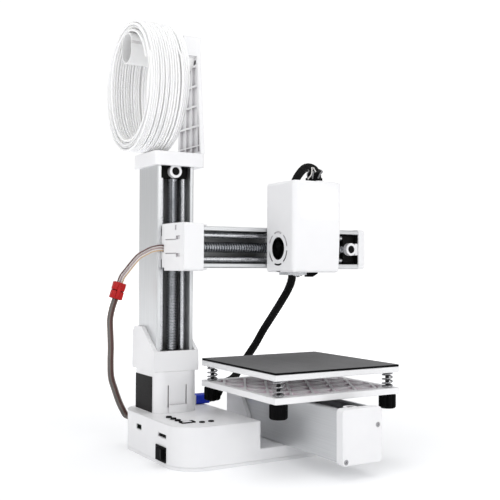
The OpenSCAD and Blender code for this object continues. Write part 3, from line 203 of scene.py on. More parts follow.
def publish(name, mesh_data, materials, body, smooth):
    """A finished mesh as a piece that rides on one body, or on none.

    Edges that turn by more than smooth, in degrees, stay sharp.
    """
    mesh = bpy.data.meshes.new(name)
    bmesh.ops.recalc_face_normals(mesh_data, faces=mesh_data.faces)
    mesh_data.to_mesh(mesh)
    mesh_data.free()
    for material in materials:
        mesh.materials.append(material)
    mesh.polygons.foreach_set("use_smooth", [True]*len(mesh.polygons))
    mesh.set_sharp_from_angle(angle=math.radians(smooth))
    piece = bpy.data.objects.new(name, mesh)
    bpy.context.scene.collection.objects.link(piece)
    if body:
        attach(piece, body)
    return piece


def add_mesh(target, points, faces, slot=0):
    """Points and faces added to a mesh, in one material slot."""
    made = [target.verts.new(point) for point in points]
    for face in faces:
        target.faces.new([made[i] for i in face]).material_index = slot


def ring_faces(rings, count, closed=False):
    """The faces between rings of points; a closed set joins its last ring to its first."""
    faces = []
    for ring in range(rings if closed else rings - 1):
        after = (ring + 1) % rings
        for i in range(count):
            j = (i + 1) % count
            faces.append([ring*count + i, ring*count + j, after*count + j, after*count + i])
    return faces


def end_faces(rings, count):
    """The two faces that close the first and the last ring."""
    last = (rings - 1)*count
    return [list(range(count))[::-1], list(range(last, last + count))]


def strip_faces(rows, count):
    """The faces between rows of points, open along both sides."""
    faces = []
    for row in range(rows - 1):
        for i in range(row*count, (row + 1)*count - 1):
            faces.append([i, i + 1, i + count + 1, i + count])
    return faces


def add_prism(target, outline, low, high, up=Z, slot=0, chamfer=0.0):
    """A closed outline, given in two axes, extruded along the third, with its rims chamfered."""
    across = [axis for axis in range(3) if axis != up]
    middle = Vector((0, 0))
    for point in outline:
        middle += Vector(point)/len(outline)

    def ring(level, inset):
        points = []
        for point in outline:
            flat = Vector(point)
            if inset:
                flat -= (flat - middle).normalized()*inset
            spot = [0.0, 0.0, 0.0]
            spot[across[0]], spot[across[1]] = flat
            spot[up] = level
            points.append(spot)
        return points

    levels = [(low, chamfer), (low + chamfer, 0), (high - chamfer, 0), (high, chamfer)]
    if not chamfer:
        levels = [(low, 0), (high, 0)]
    points = []
    for level, inset in levels:
        points += ring(level, inset)
    faces = end_faces(len(levels), len(outline)) + ring_faces(len(levels), len(outline))
    add_mesh(target, points, faces, slot)


def add_turned_prism(target, outline, low, high, at, axes, slot, chamfer):
    """A prism made in its own three axes, then moved to a place."""
    part = bmesh.new()
    add_prism(part, outline, low, high, Z, slot, chamfer)
    for vertex in part.verts:
        x, y, z = vertex.co
        vertex.co = at + axes[0]*x + axes[1]*y + axes[2]*z
    held = bpy.data.meshes.new("part")
    part.to_mesh(held)
    part.free()
    target.from_mesh(held)
    bpy.data.meshes.remove(held)


def rounded(x0, y0, x1, y1, radius, steps=5):
    """A rectangle with round corners, as a closed outline."""
    outline = []
    corners = [(x1 - radius, y0 + radius, -90), (x1 - radius, y1 - radius, 0),
               (x0 + radius, y1 - radius, 90), (x0 + radius, y0 + radius, 180)]
    for x, y, turn in corners:
        for step in range(steps + 1):
            angle = math.radians(turn + 90*step/steps)
            outline.append((x + radius*math.cos(angle), y + radius*math.sin(angle)))
    return outline


def add_lathe(target, profile, at, axis, slot=0, sides=32):
    """A profile of (radius, height) pairs turned about an axis direction through a point."""
    turn = Vector(UP).rotation_difference(Vector(axis)).to_matrix()
    points = []
    for radius, height in profile:
        for i in range(sides):
            angle = 2*math.pi*i/sides
            spot = Vector((radius*math.cos(angle), radius*math.sin(angle), height))
            points.append(Vector(at) + turn @ spot)
    faces = ring_faces(len(profile), sides) + end_faces(len(profile), sides)
    add_mesh(target, points, faces, slot)


def smooth_route(points, step):
    """A curve through the given points, sampled about every step."""
    points = [Vector(point) for point in points]
    padded = [2*points[0] - points[1]] + points + [2*points[-1] - points[-2]]
    line = []
    for i in range(1, len(padded) - 2):
        a, b, c, d = padded[i - 1:i + 3]
        parts = max(1, round((c - b).length/step))
        for part in range(parts):
            t = part/parts
            line.append(0.5*(2*b + (c - a)*t + (2*a - 5*b + 4*c - d)*t**2 + (3*b - a - 3*c + d)*t**3))
    line.append(points[-1])
    return line


def frames(line, side):
    """For each point of a line its side and rise directions, carried along without twist."""
    found = []
    carried = Vector(side)
    for i in range(len(line)):
        along = (line[min(i + 1, len(line) - 1)] - line[max(i - 1, 0)]).normalized()
        carried = (carried - along*carried.dot(along)).normalized()
        found.append((carried.copy(), along.cross(carried)))
    return found


def add_tube(target, line, radius, sides=8, side=RIGHT, slot=0):
    """A round tube along a line; side is the direction that its first corner starts from."""
    points = []
    for (across, rise), point in zip(frames(line, side), line):
        for k in range(sides):
            angle = 2*math.pi*k/sides
            points.append(point + across*radius*math.cos(angle) + rise*radius*math.sin(angle))
    faces = ring_faces(len(line), sides) + end_faces(len(line), sides)
    add_mesh(target, points, faces, slot)


# --- moving screws ---

THREAD_PITCH = 2*MM
THREAD_ROOT = 2.75*MM
THREAD_STEPS = 28
SHAFT_R = 1.95*MM
COLLAR_L = 1.6*MM
COLLAR_RIM = 0.3*MM


def make_thread(name, node, body, axis, lead_low, lead_high):
    """The real thread of a lead screw, with a plain shaft and a collar at each end of its solid."""
    low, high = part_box(node)
    across = [i for i in range(3) if i != axis]
    crest = (high[across[0]] - low[across[0]])/2
    start = low[axis] + lead_low
    end = high[axis] - lead_high
    base = start + THREAD_PITCH/2
    turns = int((end - start)/THREAD_PITCH) - 1
    count = turns*THREAD_STEPS + 1
    # Radius, and share of the pitch: the crest, then the root
    form = [(crest, 0.0), (crest, 0.36), (THREAD_ROOT, 0.5), (THREAD_ROOT, 0.86)]
    along = unit(axis)
    u = unit(across[0])
    v = along.cross(u)
    origin = (low + high)/2
    origin[axis] = 0
    points = []
    for k in range(count):
        angle = 2*math.pi*k/THREAD_STEPS
        out = u*math.cos(angle) + v*math.sin(angle)
        for radius, share in form:
            level = base + THREAD_PITCH*(k/THREAD_STEPS + share)
            points.append(origin + out*radius + along*level)
    faces = strip_faces(count, len(form))
    # One turn's root joins the next turn's crest
    for k in range(count - THREAD_STEPS - 1):
        after = (k + THREAD_STEPS)*len(form)
        root = k*len(form) + len(form) - 1
        faces.append([root, after, after + len(form), root + len(form)])
    target = bmesh.new()
    add_mesh(target, points, faces)
    for far, lead, way in ((low[axis], lead_low, 1), (high[axis], lead_high, -1)):
        profile = [(SHAFT_R, 0), (SHAFT_R, lead), (crest - COLLAR_RIM, lead), (crest, lead + COLLAR_RIM),
                   (crest, lead + COLLAR_L), (THREAD_ROOT, lead + COLLAR_L)]
        add_lathe(target, profile, origin + along*far, along*way)
    core_r = 0.98*THREAD_ROOT
    add_lathe(target, [(core_r, 0), (core_r, end - start)], origin + along*start, along)
    piece = publish(name, target, [LOOKS["screw_steel"]], body, 30)
    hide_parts(node)


def make_screws():
    """The lead screws of the column, the arm and the rail; the motor's end has the longer shaft."""
    clip_end = 3*MM
    make_thread("column_screw", "z_lead_screw", "z_screw", Z, 11*MM, clip_end)
    make_thread("arm_screw", "x_lead_screw", "x_screw", X, 7.9*MM, clip_end)
    make_thread("rail_screw", "y_lead_screw", "y_screw", Y, clip_end, 9.8*MM)


# --- filament coil ---

STRAND_R = 0.875*MM
COIL_RING = 8.4*MM
COIL_LAYERS = 4
LAYER_TURNS = 15
TURN_STEPS = 72


def coil_share(turn, layer):
    """How far across the coil a turn lies, from 0 to 1; layers run to and fro, with one gap in each."""
    share = (turn - layer*LAYER_TURNS)/LAYER_TURNS
    if layer % 2:
        share = 1 - share
    gap_at = 0.8
    left_pack = 0.985
    right_pack = 0.86
    if share < gap_at:
        return share*left_pack
    return 1 - (1 - share)*right_pack


def coil_slack(count):
    """For each turn a tilt to the side and a share of slack, both by chance."""
    chance = random.Random(7)
    slack = []
    for _ in range(count):
        tilt = chance.uniform(-0.5, 0.5)*MM
        # A spare draw, which keeps the draws after it the same
        chance.random()
        slack.append((tilt, chance.uniform(0, 0.6)))
    return slack


def make_coil():
    """The coil as one strand wound in layers, hanging slack as an oval from the top of the peg."""
    low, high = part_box("filament_coil")
    centre = (low + high)/2
    deep = (high.y - low.y)/2 - STRAND_R
    tall = (high.z - low.z)/2 - STRAND_R
    ring = COIL_RING - 2*STRAND_R
    left = low.x + STRAND_R
    right = high.x - STRAND_R
    # In radians: how far before the top a turn starts, and the phases of its tilt and its slack
    seam = 1.2
    tilt_turn = 1.1
    slack_turn = 0.4
    # Scale of how far slack brings a turn inward and lifts it
    loose_in = 1.3*MM
    loose_up = 0.8*MM
    # How far the inner layers hang clear at the back: at the coil's left side, and more at its right
    back_gap = 2*MM
    back_gap_more = 3*MM
    last = COIL_LAYERS - 1
    slack = coil_slack(COIL_LAYERS*LAYER_TURNS + 2)
    line = []
    for k in range(COIL_LAYERS*LAYER_TURNS*TURN_STEPS + 1):
        turn = k/TURN_STEPS
        index = int(turn)
        part = turn - index
        layer = min(index//LAYER_TURNS, last)
        share = coil_share(turn, layer)
        ease = part*part*(3 - 2*part)
        now, then = slack[index], slack[index + 1]
        tilt = now[0]*(1 - ease) + then[0]*ease
        sag = now[1]*(1 - ease) + then[1]*ease
        angle = 2*math.pi*part - seam
        # The last turn of a layer climbs to the next one
        climb = max(0, turn - (layer + 1)*LAYER_TURNS + 1) if layer < last else 0
        level = (last - layer - climb)/last
        inset = ring*level
        back = max(0.0, math.sin(angle))**2
        loose = loose_in*sag*(1 - math.cos(angle + slack_turn))
        loose += (back_gap + back_gap_more*share)*back*level
        lift = loose_up*sag*(1 - math.cos(angle)) if level else 0
        x = left + (right - left)*share + tilt*math.sin(angle + tilt_turn)
        y = (deep - inset - loose)*math.sin(angle)
        z = (tall - inset)*math.cos(angle) + lift
        line.append(Vector((min(max(x, left), right), centre.y + y, centre.z + z)))
    target = bmesh.new()
    add_tube(target, line, STRAND_R)
    piece = publish("filament_strand", target, [LOOKS["filament"]], "coil", 60)
    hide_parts("filament_coil")


# --- bed ---

PLATE_T = 3.8*MM
SHEET_T = 1.4*MM
SCREW_R = 1.5*MM
SCREW_ROOT = 1.28*MM
SCREW_PITCH = 0.5*MM


def knob_places():
    """The centres of the four levelling screws."""
    places = []
    for i in range(4):
        low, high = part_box(f"level_knob_{i + 1}")
        places.append((low + high)/2)
    return places


def add_level_screw(target, foot, length, slot):
    """One levelling screw standing on a point, its thread as plain rings."""
    tip = 0.4*MM
    shank = [(SCREW_R - 0.3*MM, 0), (SCREW_R, tip)]
    level = tip
    while level < length - SCREW_PITCH:
        shank += [(SCREW_R, level + 0.3*SCREW_PITCH), (SCREW_ROOT, level + 0.55*SCREW_PITCH),
                  (SCREW_ROOT, level + 0.8*SCREW_PITCH)]
        level += SCREW_PITCH
    shank.append((SCREW_R, length + 0.1*MM))
    add_lathe(target, shank, foot, UP, slot, 20)


def make_bed_top():
    """Upper plate, build sheet and levelling screws."""
    low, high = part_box("upper_plate")
    plate_high = high.z - SHEET_T
    plate_low = plate_high - PLATE_T
    looks = [LOOKS["bed_white"], LOOKS["build_sheet"], LOOKS["black_steel"], LOOKS["black"]]
    target = bmesh.new()
    plate = rounded(low.x, low.y, high.x, high.y, 1.2*MM)
    add_prism(target, plate, plate_low, plate_high, chamfer=0.35*MM)
    inset = 0.05*MM
    seam = 0.02*MM
    sheet = rounded(low.x + inset, low.y + inset, high.x - inset, high.y - inset, 1.4*MM)
    add_prism(target, sheet, plate_high + seam, high.z, slot=1, chamfer=0.25*MM)
    # The sheet's rim, all of its faces with four corners, is black
    for face in target.faces:
        if face.material_index == 1 and len(face.verts) == 4:
            face.material_index = 3
    for place_at in knob_places():
        foot = Vector((place_at.x, place_at.y, low.z))
        add_level_screw(target, foot, plate_low - low.z, 2)
    piece = publish("bed_top", target, looks, "bed", 35)
    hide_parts("upper_plate")


def make_springs():
    """Levelling springs with closed, ground ends."""
    low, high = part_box("level_springs")
    wire = 0.55*MM
    radius = 3.3*MM
    turns = 4.6
    steps = 26
    # Closed turns at each end, which rise by half a wire only
    flat = 0.8
    target = bmesh.new()
    for place_at in knob_places():
        line = []
        for k in range(int(turns*steps) + 1):
            t = k/steps
            share = min(max((t - flat)/(turns - 2*flat), 0), 1)
            ends = min(t, flat)/flat + max(0, t - turns + flat)/flat
            z = low.z + wire + wire*ends/2 + (high.z - low.z - 3*wire)*share
            angle = 2*math.pi*t
            line.append(Vector((place_at.x + radius*math.cos(angle), place_at.y + radius*math.sin(angle), z)))
        add_tube(target, line, wire)
    piece = publish("bed_springs", target, [LOOKS["nickel"]], "bed", 60)
    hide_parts("level_springs")


# --- cables ---

# The routes of part.scad, in metres
UPPER_CABLE = [
    (0.058, -0.038, 0.1945), (0.0582, -0.0376, 0.1975), (0.060, -0.032, 0.2025), (0.0625, -0.023, 0.2055),
    (0.065, -0.013, 0.2065), (0.067, -0.004, 0.2045), (0.0685, 0.005, 0.1995), (0.0695, 0.012, 0.191),
    (0.0695, 0.015, 0.180), (0.0695, 0.015, 0.165), (0.0695, 0.015, 0.1505),
]
LOWER_CABLE = [
    (0.0695, 0.015, 0.1497), (0.0695, 0.015, 0.142), (0.071, 0.0155, 0.133), (0.0735, 0.0175, 0.124),
    (0.074, 0.023, 0.115), (0.073, 0.032, 0.1045), (0.0725, 0.045, 0.092), (0.0715, 0.057, 0.080),
    (0.0675, 0.0625, 0.0685), (0.062, 0.0665, 0.058), (0.055, 0.066, 0.0495), (0.047, 0.0605, 0.0434),
    (0.0385, 0.0525, 0.0416), (0.030, 0.044, 0.0416), (0.024, 0.0385, 0.041), (0.0195, 0.0353, 0.0388),
    (0.0168, 0.0339, 0.0354), (0.0146, 0.0335, 0.0332), (0.0126, 0.0335, 0.0323), (0.0104, 0.0335, 0.0322),
]
UPPER_RIBBON = [
    (-0.042, 0.0075, 0.1448), (-0.045, 0.008, 0.145), (-0.0495, 0.0105, 0.144), (-0.053, 0.013, 0.142),
    (-0.057, 0.0165, 0.139), (-0.060, 0.021, 0.134), (-0.0623, 0.0255, 0.129), (-0.0645, 0.029, 0.1245),
    (-0.0658, 0.030, 0.1202),
]
LOWER_RIBBON = [
    (-0.0692, 0.030, 0.1088), (-0.0715, 0.030, 0.102), (-0.073, 0.030, 0.094), (-0.0725, 0.0305, 0.0845),
    (-0.0715, 0.032, 0.074), (-0.0705, 0.035, 0.064), (-0.068, 0.040, 0.052), (-0.063, 0.0455, 0.042),
    (-0.0575, 0.051, 0.032), (-0.0525, 0.056, 0.025), (-0.0495, 0.057, 0.0205), (-0.049, 0.0495, 0.020),
]
CABLE_R = 3.3*MM


def make_braid(name, route, node):
    """A cable in a braided sleeve: a core, and strands that cross over and under each other."""
    line = smooth_route(route, 0.7*MM)
    ways = frames(line, RIGHT)
    strands = 10
    pitch = 17*MM
    core_r = CABLE_R - 0.42*MM
    strand_r = CABLE_R - 0.28*MM
    weave_depth = 0.13*MM
    # Across a strand: the place of each corner and its height
    half_wide = 0.5*MM
    edge = -0.12*MM
    crown = 0.1*MM
    form = [(-half_wide, edge), (-half_wide/2, crown), (half_wide/2, crown), (half_wide, edge)]
    travel = [0.0]
    for before, point in zip(line, line[1:]):
        travel.append(travel[-1] + (point - before).length)
    target = bmesh.new()
    add_tube(target, line, core_r, 20)
    for hand in (-1, 1):
        for strand in range(strands):
            points = []
            for (across, rise), point, gone in zip(ways, line, travel):
                phase = 2*math.pi*(strand/strands + hand*gone/pitch)
                weave = math.cos(2*math.pi*strands*gone/pitch + math.pi*strand)*hand
                radius = strand_r + weave_depth*weave
                for offset, height in form:
                    angle = phase + offset/CABLE_R
                    out = across*math.cos(angle) + rise*math.sin(angle)
                    points.append(point + out*(radius + height))
            add_mesh(target, points, strip_faces(len(line), len(form)), 1)
    piece = publish(name, target, [LOOKS["cable_core"], LOOKS["braid"]], None, 50)
    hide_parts(node)
    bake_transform(piece)


def make_ribbon(name, route, node, looks, spacing, radius, side, bend=None, body=None, fan=0.0):
    """Wires lying side by side along a route; fan is how far they spread halfway."""
    line = smooth_route(route, 1.2*MM)
    ways = frames(line, side)
    count = len(looks)
    target = bmesh.new()
    for wire in range(count):
        shift = (wire - (count - 1)/2)*spacing
        # Each wire bows its own way
        own = math.sin(wire*2.4 + 1)
        points = []
        for i, ((across, rise), point) in enumerate(zip(ways, line)):
            loose = fan*math.sin(math.pi*i/(len(line) - 1))*own
            points.append(point + across*(shift + loose*0.4) + rise*loose)
        add_tube(target, points, radius, 8, side, wire)
    piece = publish(name, target, looks, body, 60)
    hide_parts(node)
    if bend:
        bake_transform(piece)


def make_cables():
    """The two lengths of braided cable and the two flat bands of wires."""
    make_braid("cable_over", UPPER_CABLE, "cable_upper")
    make_braid("cable_down", LOWER_CABLE, "cable_lower")
    wires = ("wire_tan", "wire_white", "wire_pink", "wire_white", "wire_brown")
    make_ribbon("wires_upper", UPPER_RIBBON, "ribbon_upper", [LOOKS[name] for name in wires], 0.92*MM,
                0.46*MM, UP, body="carriage", fan=0.5*MM)
    wires = ("wire_taupe", "wire_grey", "wire_taupe", "wire_brown", "wire_red_dull", "wire_taupe")
    make_ribbon("wires_lower", LOWER_RIBBON, "ribbon_lower", [LOOKS[name] for name in wires], 0.8*MM,
                0.4*MM, RIGHT, bend=("base", "carriage", (-0.06, 0.04, 0.03), (-0.06, 0.04, 0.105)))


def make_connector():
    """The red plug pair between the two flat cables."""
    top = Vector(UPPER_RIBBON[-1])
    foot = Vector(LOWER_RIBBON[0])
    along = (top - foot).normalized()
    side = Vector((0, 1, 0))
    axes = (side.cross(along), side, along)
    middle = (top + foot)/2
    target = bmesh.new()

    def block(a0, a1, s0, s1, f0, f1, slot=0, chamfer=0.3*MM):
        add_turned_prism(target, rounded(f0, s0, f1, s1, 0.5*MM, 3), a0, a1, middle, axes, slot, chamfer)

    half = (top - foot).length/2
    thick = 2.25*MM
    wide = 4.4*MM
    seam = 0.3*MM
    block(-half, -seam, -thick, thick, -wide, wide)
    block(seam, half, -thick, thick, -wide, wide)
    # A near-black core in the seam, as painted shadow, and the latch over it
    fine = 0.05*MM
    block(-2*seam, 2*seam, -1.9*MM, 1.9*MM, -4*MM, 4*MM, 1, fine)
    block(-half + 1*MM, half - 1.6*MM, -3*MM, -2.1*MM, -1.4*MM, 1.4*MM)
    # The mouths of five wires at each end, near black as painted shadow
    hole = 0.55*MM
    tall = 0.7*MM
    out = 0.15*MM
    for wire in range(5):
        x = (wire - 2)*1.7*MM
        block(-half - out, -half + 2*out, -tall, tall, x - hole, x + hole, 1, fine)
        block(half - 2*out, half + out, -tall, tall, x - hole, x + hole, 1, fine)
    piece = publish("wire_connector", target, [LOOKS["red"], LOOKS["shadow"]], "carriage", 30)
    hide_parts("ribbon_connector")


def make_plug():
    """The blue data plug with its metal nose in the port, its ribs and its dark boot."""
    low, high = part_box("data_plug")
    middle = (low + high)/2
    mouth = low.x + 2.8*MM
    body_end = high.x - 3*MM
    wide = (high.y - low.y)/2
    tall = (high.z - low.z)/2
    target = bmesh.new()
    body = rounded(middle.y - wide, middle.z - tall, middle.y + wide, middle.z + tall, 1*MM)
    add_prism(target, body, mouth + 0.1*MM, body_end, X, 0, 0.6*MM)
    wall = 0.7*MM
    nose = rounded(middle.y - wide + wall, middle.z - tall + wall, middle.y + wide - wall,
                   middle.z + tall - wall, 0.3*MM)
    add_prism(target, nose, low.x, mouth + 0.3*MM, X, 2)
    rib_half = 3*MM
    rib_from = mouth + 3.2*MM
    rib_pitch = 1.7*MM
    rib = rounded(middle.y - rib_half, middle.z - tall - 0.05*MM, middle.y + rib_half,
                  middle.z + tall + 0.25*MM, 0.3*MM, 3)
    for i in range(4):
        x = rib_from + i*rib_pitch
        add_prism(target, rib, x, x + 0.8*MM, X)
    # The boot steps in once along its length
    rim = 3.3*MM
    waist = 2.9*MM
    tail = 3.2*MM
    boot = [(rim, 0), (rim, 1*MM), (waist, 1.1*MM), (waist, 1.6*MM), (tail, 1.7*MM),
            (tail, high.x - body_end)]
    add_lathe(target, boot, (body_end, middle.y, middle.z), RIGHT, 1)
    piece = publish("blue_plug", target, [LOOKS["blue"], LOOKS["rubber"], LOOKS["nickel"]], "base", 30)
    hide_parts("data_plug")


# --- end clips of the channels ---

BOSS_R = 4.8*MM
RECESS_R = 2.9*MM
CLIP_DEPTH = 4.4*MM
BEARING_DEPTH = 12*MM
BEARING_HALF = 11.1*MM


def add_clip(target, at, along, out, back):
    """One end clip: a ring boss with a screw, its tongue toward the end, and the block behind it.

    Slot 0 is the clip, 1 its dark places (the bearing block, and painted shadow in the recess and behind the
    tongue) and 2 the screw.
    """
    at, along, out = Vector(at), Vector(along), Vector(out)
    axes = (along.cross(out), out, along)
    lip = 0.3*MM
    ring = [(BOSS_R - 0.4*MM, -CLIP_DEPTH), (BOSS_R, -CLIP_DEPTH + 0.1*MM), (BOSS_R, -lip), (BOSS_R - lip, 0),
            (RECESS_R + 0.2*MM, 0), (RECESS_R, -0.2*MM), (RECESS_R, -CLIP_DEPTH)]
    add_lathe(target, ring, at, out)
    # The well: a near-black lining of the recess around the screw, as painted shadow
    well_r = RECESS_R - 0.05*MM
    floor = -2.2*MM
    hub = 0.02*MM
    well = [(well_r, -0.5*MM), (RECESS_R - 0.1*MM, -0.5*MM), (RECESS_R - 0.15*MM, floor), (hub, floor),
            (hub, -CLIP_DEPTH), (well_r, -CLIP_DEPTH)]
    add_lathe(target, well, at, out, 1)
    head_r = 2.5*MM
    socket_r = 0.9*MM
    face = -1*MM
    socket = -1.6*MM
    screw = [(hub, socket), (socket_r, socket), (socket_r + 0.2*MM, face), (head_r - 0.2*MM, face),
             (head_r, face - 0.2*MM), (head_r, floor - 0.1*MM)]
    add_lathe(target, screw, at, out, 2, 24)

    def block(s0, s1, d0, d1, half, slot):
        add_turned_prism(target, rounded(-half, d0, half, d1, 0.4*MM, 2), s0, s1, at, axes, slot, 0.2*MM)

    end = back - 0.1*MM
    block(0.75*BOSS_R, end, -CLIP_DEPTH, -0.2*MM, BOSS_R - lip, 0)
    block(-BOSS_R, end, -BEARING_DEPTH, -CLIP_DEPTH, BEARING_HALF, 1)
    # A thin near-black plate behind the tongue, as painted shadow
    block(end - 0.6*MM, end, -CLIP_DEPTH - 0.1*MM, -0.5*MM, BEARING_HALF, 1)


def make_clips():
    """The white end clips with their dark bearing blocks and the painted shadow in their recesses."""
    z_low, z_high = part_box("z_profile")
    y_low, y_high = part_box("y_profile")
    x_low, x_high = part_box("x_profile")
    # From a profile's end to its boss; the column's tongue stops short, below the cap
    back = 6.3*MM
    z_back = 5.6*MM
    z_tongue = 3.5*MM
    looks = [LOOKS["white"], LOOKS["shadow"], LOOKS["black_steel"]]
    target = bmesh.new()
    add_clip(target, ((z_low.x + z_high.x)/2, z_low.y, z_high.z - z_back), UP, FRONT, z_tongue)
    add_clip(target, ((y_low.x + y_high.x)/2, y_low.y + back, y_high.z), FRONT, UP, back)
    piece = publish("frame_end_clips", target, looks, "base", 35)
    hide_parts("frame_clips")
    target = bmesh.new()
    add_clip(target, (x_high.x - back, x_low.y, (x_low.z + x_high.z)/2), RIGHT, FRONT, back)
    piece = publish("arm_end_clip", target, looks, "carriage", 35)
    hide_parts("x_end_clip")


# --- small trim ---

def make_panel():
    """The bare dark panel on the side of the motor socket."""
    low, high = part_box("column_socket")
    panel = rounded(low.y + 7.2*MM, low.z + 0.4*MM, high.y - 6*MM, high.z - 3.4*MM, 0.6*MM)
    target = bmesh.new()
    add_prism(target, panel, low.x - 0.18*MM, low.x + 0.1*MM, X, 0, 0.06*MM)
    piece = publish("side_panel", target, [LOOKS["panel"]], "base", 30)


def make_film():
    """The thin bare film on the front of the head."""
    low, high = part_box("head_cover")
    top = high.z - 7.2*MM
    film = rounded(low.x + 5*MM, top - 22*MM, high.x - 3.4*MM, top, 1*MM)
    half = 0.1*MM
    target = bmesh.new()
    add_prism(target, film, low.y - half, low.y + half, Y, 0, 0.04*MM)
    piece = publish("head_film", target, [LOOKS["film"]], "head", 30)


def make_port_shadows():
    """Dark plates just inside the data port and the card slot in the left wall, as painted shadow."""
    low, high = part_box("base_shell")
    back = low.x + 0.9*MM
    # From the front, from the top, half width and half height of each
    ports = [(65.4*MM, 8.6*MM, 4.2*MM, 1.7*MM), (26.8*MM, 8.4*MM, 6.6*MM, 1.3*MM)]
    target = bmesh.new()
    for in_y, down, half_y, half_z in ports:
        y = low.y + in_y
        z = high.z - down
        inside = rounded(y - half_y, z - half_z, y + half_y, z + half_z, 0.3*MM, 2)
        add_prism(target, inside, back, back + 0.5*MM, X)
    piece = publish("port_shadows", target, [LOOKS["shadow"]], "base", 30)


def make_mode_frame():
    """The low dark frame around the mode switch."""
    low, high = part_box("mode_slider")
    x = (low.x + high.x)/2
    y = (low.y + high.y)/2
    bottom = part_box("base_shell")[1].z - 0.05*MM
    top = bottom + 0.75*MM
    half_x = 5.1*MM
    half_y = 3.1*MM
    wide = 0.7*MM
    outer = rounded(x - half_x, y - half_y, x + half_x, y + half_y, 0.8*MM)
    inner = rounded(x - half_x + wide, y - half_y + wide, x + half_x - wide, y + half_y - wide, 0.5*MM)
    points = []
    for ring, level in ((outer, bottom), (outer, top), (inner, top), (inner, bottom)):
        points += [(px, py, level) for px, py in ring]
    target = bmesh.new()
    add_mesh(target, points, ring_faces(4, len(outer), closed=True))
    piece = publish("mode_frame", target, [LOOKS["shadow"]], "base", 30)


def make_light_lenses():
    """The two domed lenses of the indicator lights, wider than the holes they stand on."""
    low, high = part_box("indicator_lights")
    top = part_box("base_shell")[1].z
    hole_r = 1.3*MM
    radius = 2*MM
    dome = [(radius*0.9, -1*MM), (radius, -1*MM), (radius, 0.5*MM), (radius*0.9, 0.75*MM),
            (radius*0.5, 0.9*MM), (0.05*MM, 0.95*MM)]
    target = bmesh.new()
    for x in (low.x + hole_r, high.x - hole_r):
        add_lathe(target, dome, (x, (low.y + high.y)/2, top), UP, 0, 24)
    piece = publish("light_lenses", target, [LOOKS["panel"]], "base", 40)
    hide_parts("indicator_lights")


def make_fan_shadow():
    """Painted shadow in the fan opening: a black tube, a disc behind the fan, and the slots' floor."""
    low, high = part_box("fan_frame")
    head_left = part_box("head_cover")[0].x
    middle = (low + high)/2
    seat = (head_left, middle.y, middle.z)
    target = bmesh.new()
    outer = 7.95*MM
    inner = 7.55*MM
    deep = low.x - head_left + 0.1*MM
    tube = [(inner, deep), (inner, 0.5*MM), (outer, 0.3*MM), (outer, deep)]
    add_lathe(target, tube, seat, RIGHT, 0, 48)
    hub = 0.02*MM
    disc_r = 10.6*MM
    back = high.x - head_left + 0.1*MM
    disc = [(hub, back), (disc_r, back), (disc_r, back + 0.3*MM), (hub, back + 0.3*MM)]
    add_lathe(target, disc, seat, RIGHT, 0, 48)
    # The floor of the arc slots around the opening, black as painted shadow
    slot_in = 10.85*MM
    slot_out = 11.95*MM
    near = 0.4*MM
    far = 1*MM
    floor = [(slot_in, near), (slot_out, near), (slot_out, far), (slot_in, far), (slot_in, near)]
    add_lathe(target, floor, seat, RIGHT, 0, 64)
    piece = publish("fan_shadow", target, [LOOKS["shadow"]], "head", 40)


def make_head_wires():
    """The wires that fan out of the braid into the black housing on the head."""
    start = Vector(UPPER_CABLE[3])
    end = Vector(UPPER_CABLE[0])
    halfway = (start + end)/2 + Vector((0.6, -1.5, 2))*MM
    lean = Vector((-4.6, 0, 0))*MM
    looks = [LOOKS["black"], LOOKS["wire_grey"], LOOKS["wire_white"], LOOKS["rubber"]]
    target = bmesh.new()
    # Twelve wires bow outward, each by one of three reaches, and turn in again at the housing
    wires = 12
    wire_r = 0.68*MM
    reaches = (2.2*MM, 3.4*MM, 2.8*MM)
    wire_looks = (0, 1, 0)
    for wire in range(wires):
        angle = 2*math.pi*wire/wires + 0.3
        off = Vector((math.cos(angle), math.sin(angle), 0))
        reach = reaches[wire % 3]
        route = [start + off*1.8*MM, halfway + off*1.35*reach,
                 end + lean*0.6 + off*(reach + 1.2*MM) + Vector((0, 0, 4.4))*MM,
                 end + lean*0.8 + off*0.9*reach + Vector((0, 0, 0.3))*MM]
        add_tube(target, smooth_route(route, 0.8*MM), wire_r, slot=wire_looks[wire % 3])
    # Two thin white wires in front
    thin_r = 0.42*MM
    for side in (-1, 1):
        bends = [(side*3.4 - 1, -1.5, 0.3), (side*2.2, -3, 4), (side*0.6 - 0.6, -2, 9)]
        route = [end + lean + Vector(bend)*MM for bend in bends]
        add_tube(target, smooth_route(route, 0.8*MM), thin_r, slot=2)
    housing = rounded(end.x - 9*MM, end.y - 3.6*MM, end.x + 3.8*MM, end.y + 3.6*MM, 0.8*MM, 3)
    add_prism(target, housing, end.z - 3*MM, end.z - 0.6*MM, Z, 3, 0.3*MM)
    crown = rounded(end.x - 8.2*MM, end.y - 3*MM, end.x + 3*MM, end.y + 3*MM, 0.6*MM, 3)
    add_prism(target, crown, end.z - 0.7*MM, end.z + 1.6*MM, Z, 0, 0.2*MM)
    piece = publish("head_wires", target, looks, "head", 50)


# --- looks ---

LOOKS = {}


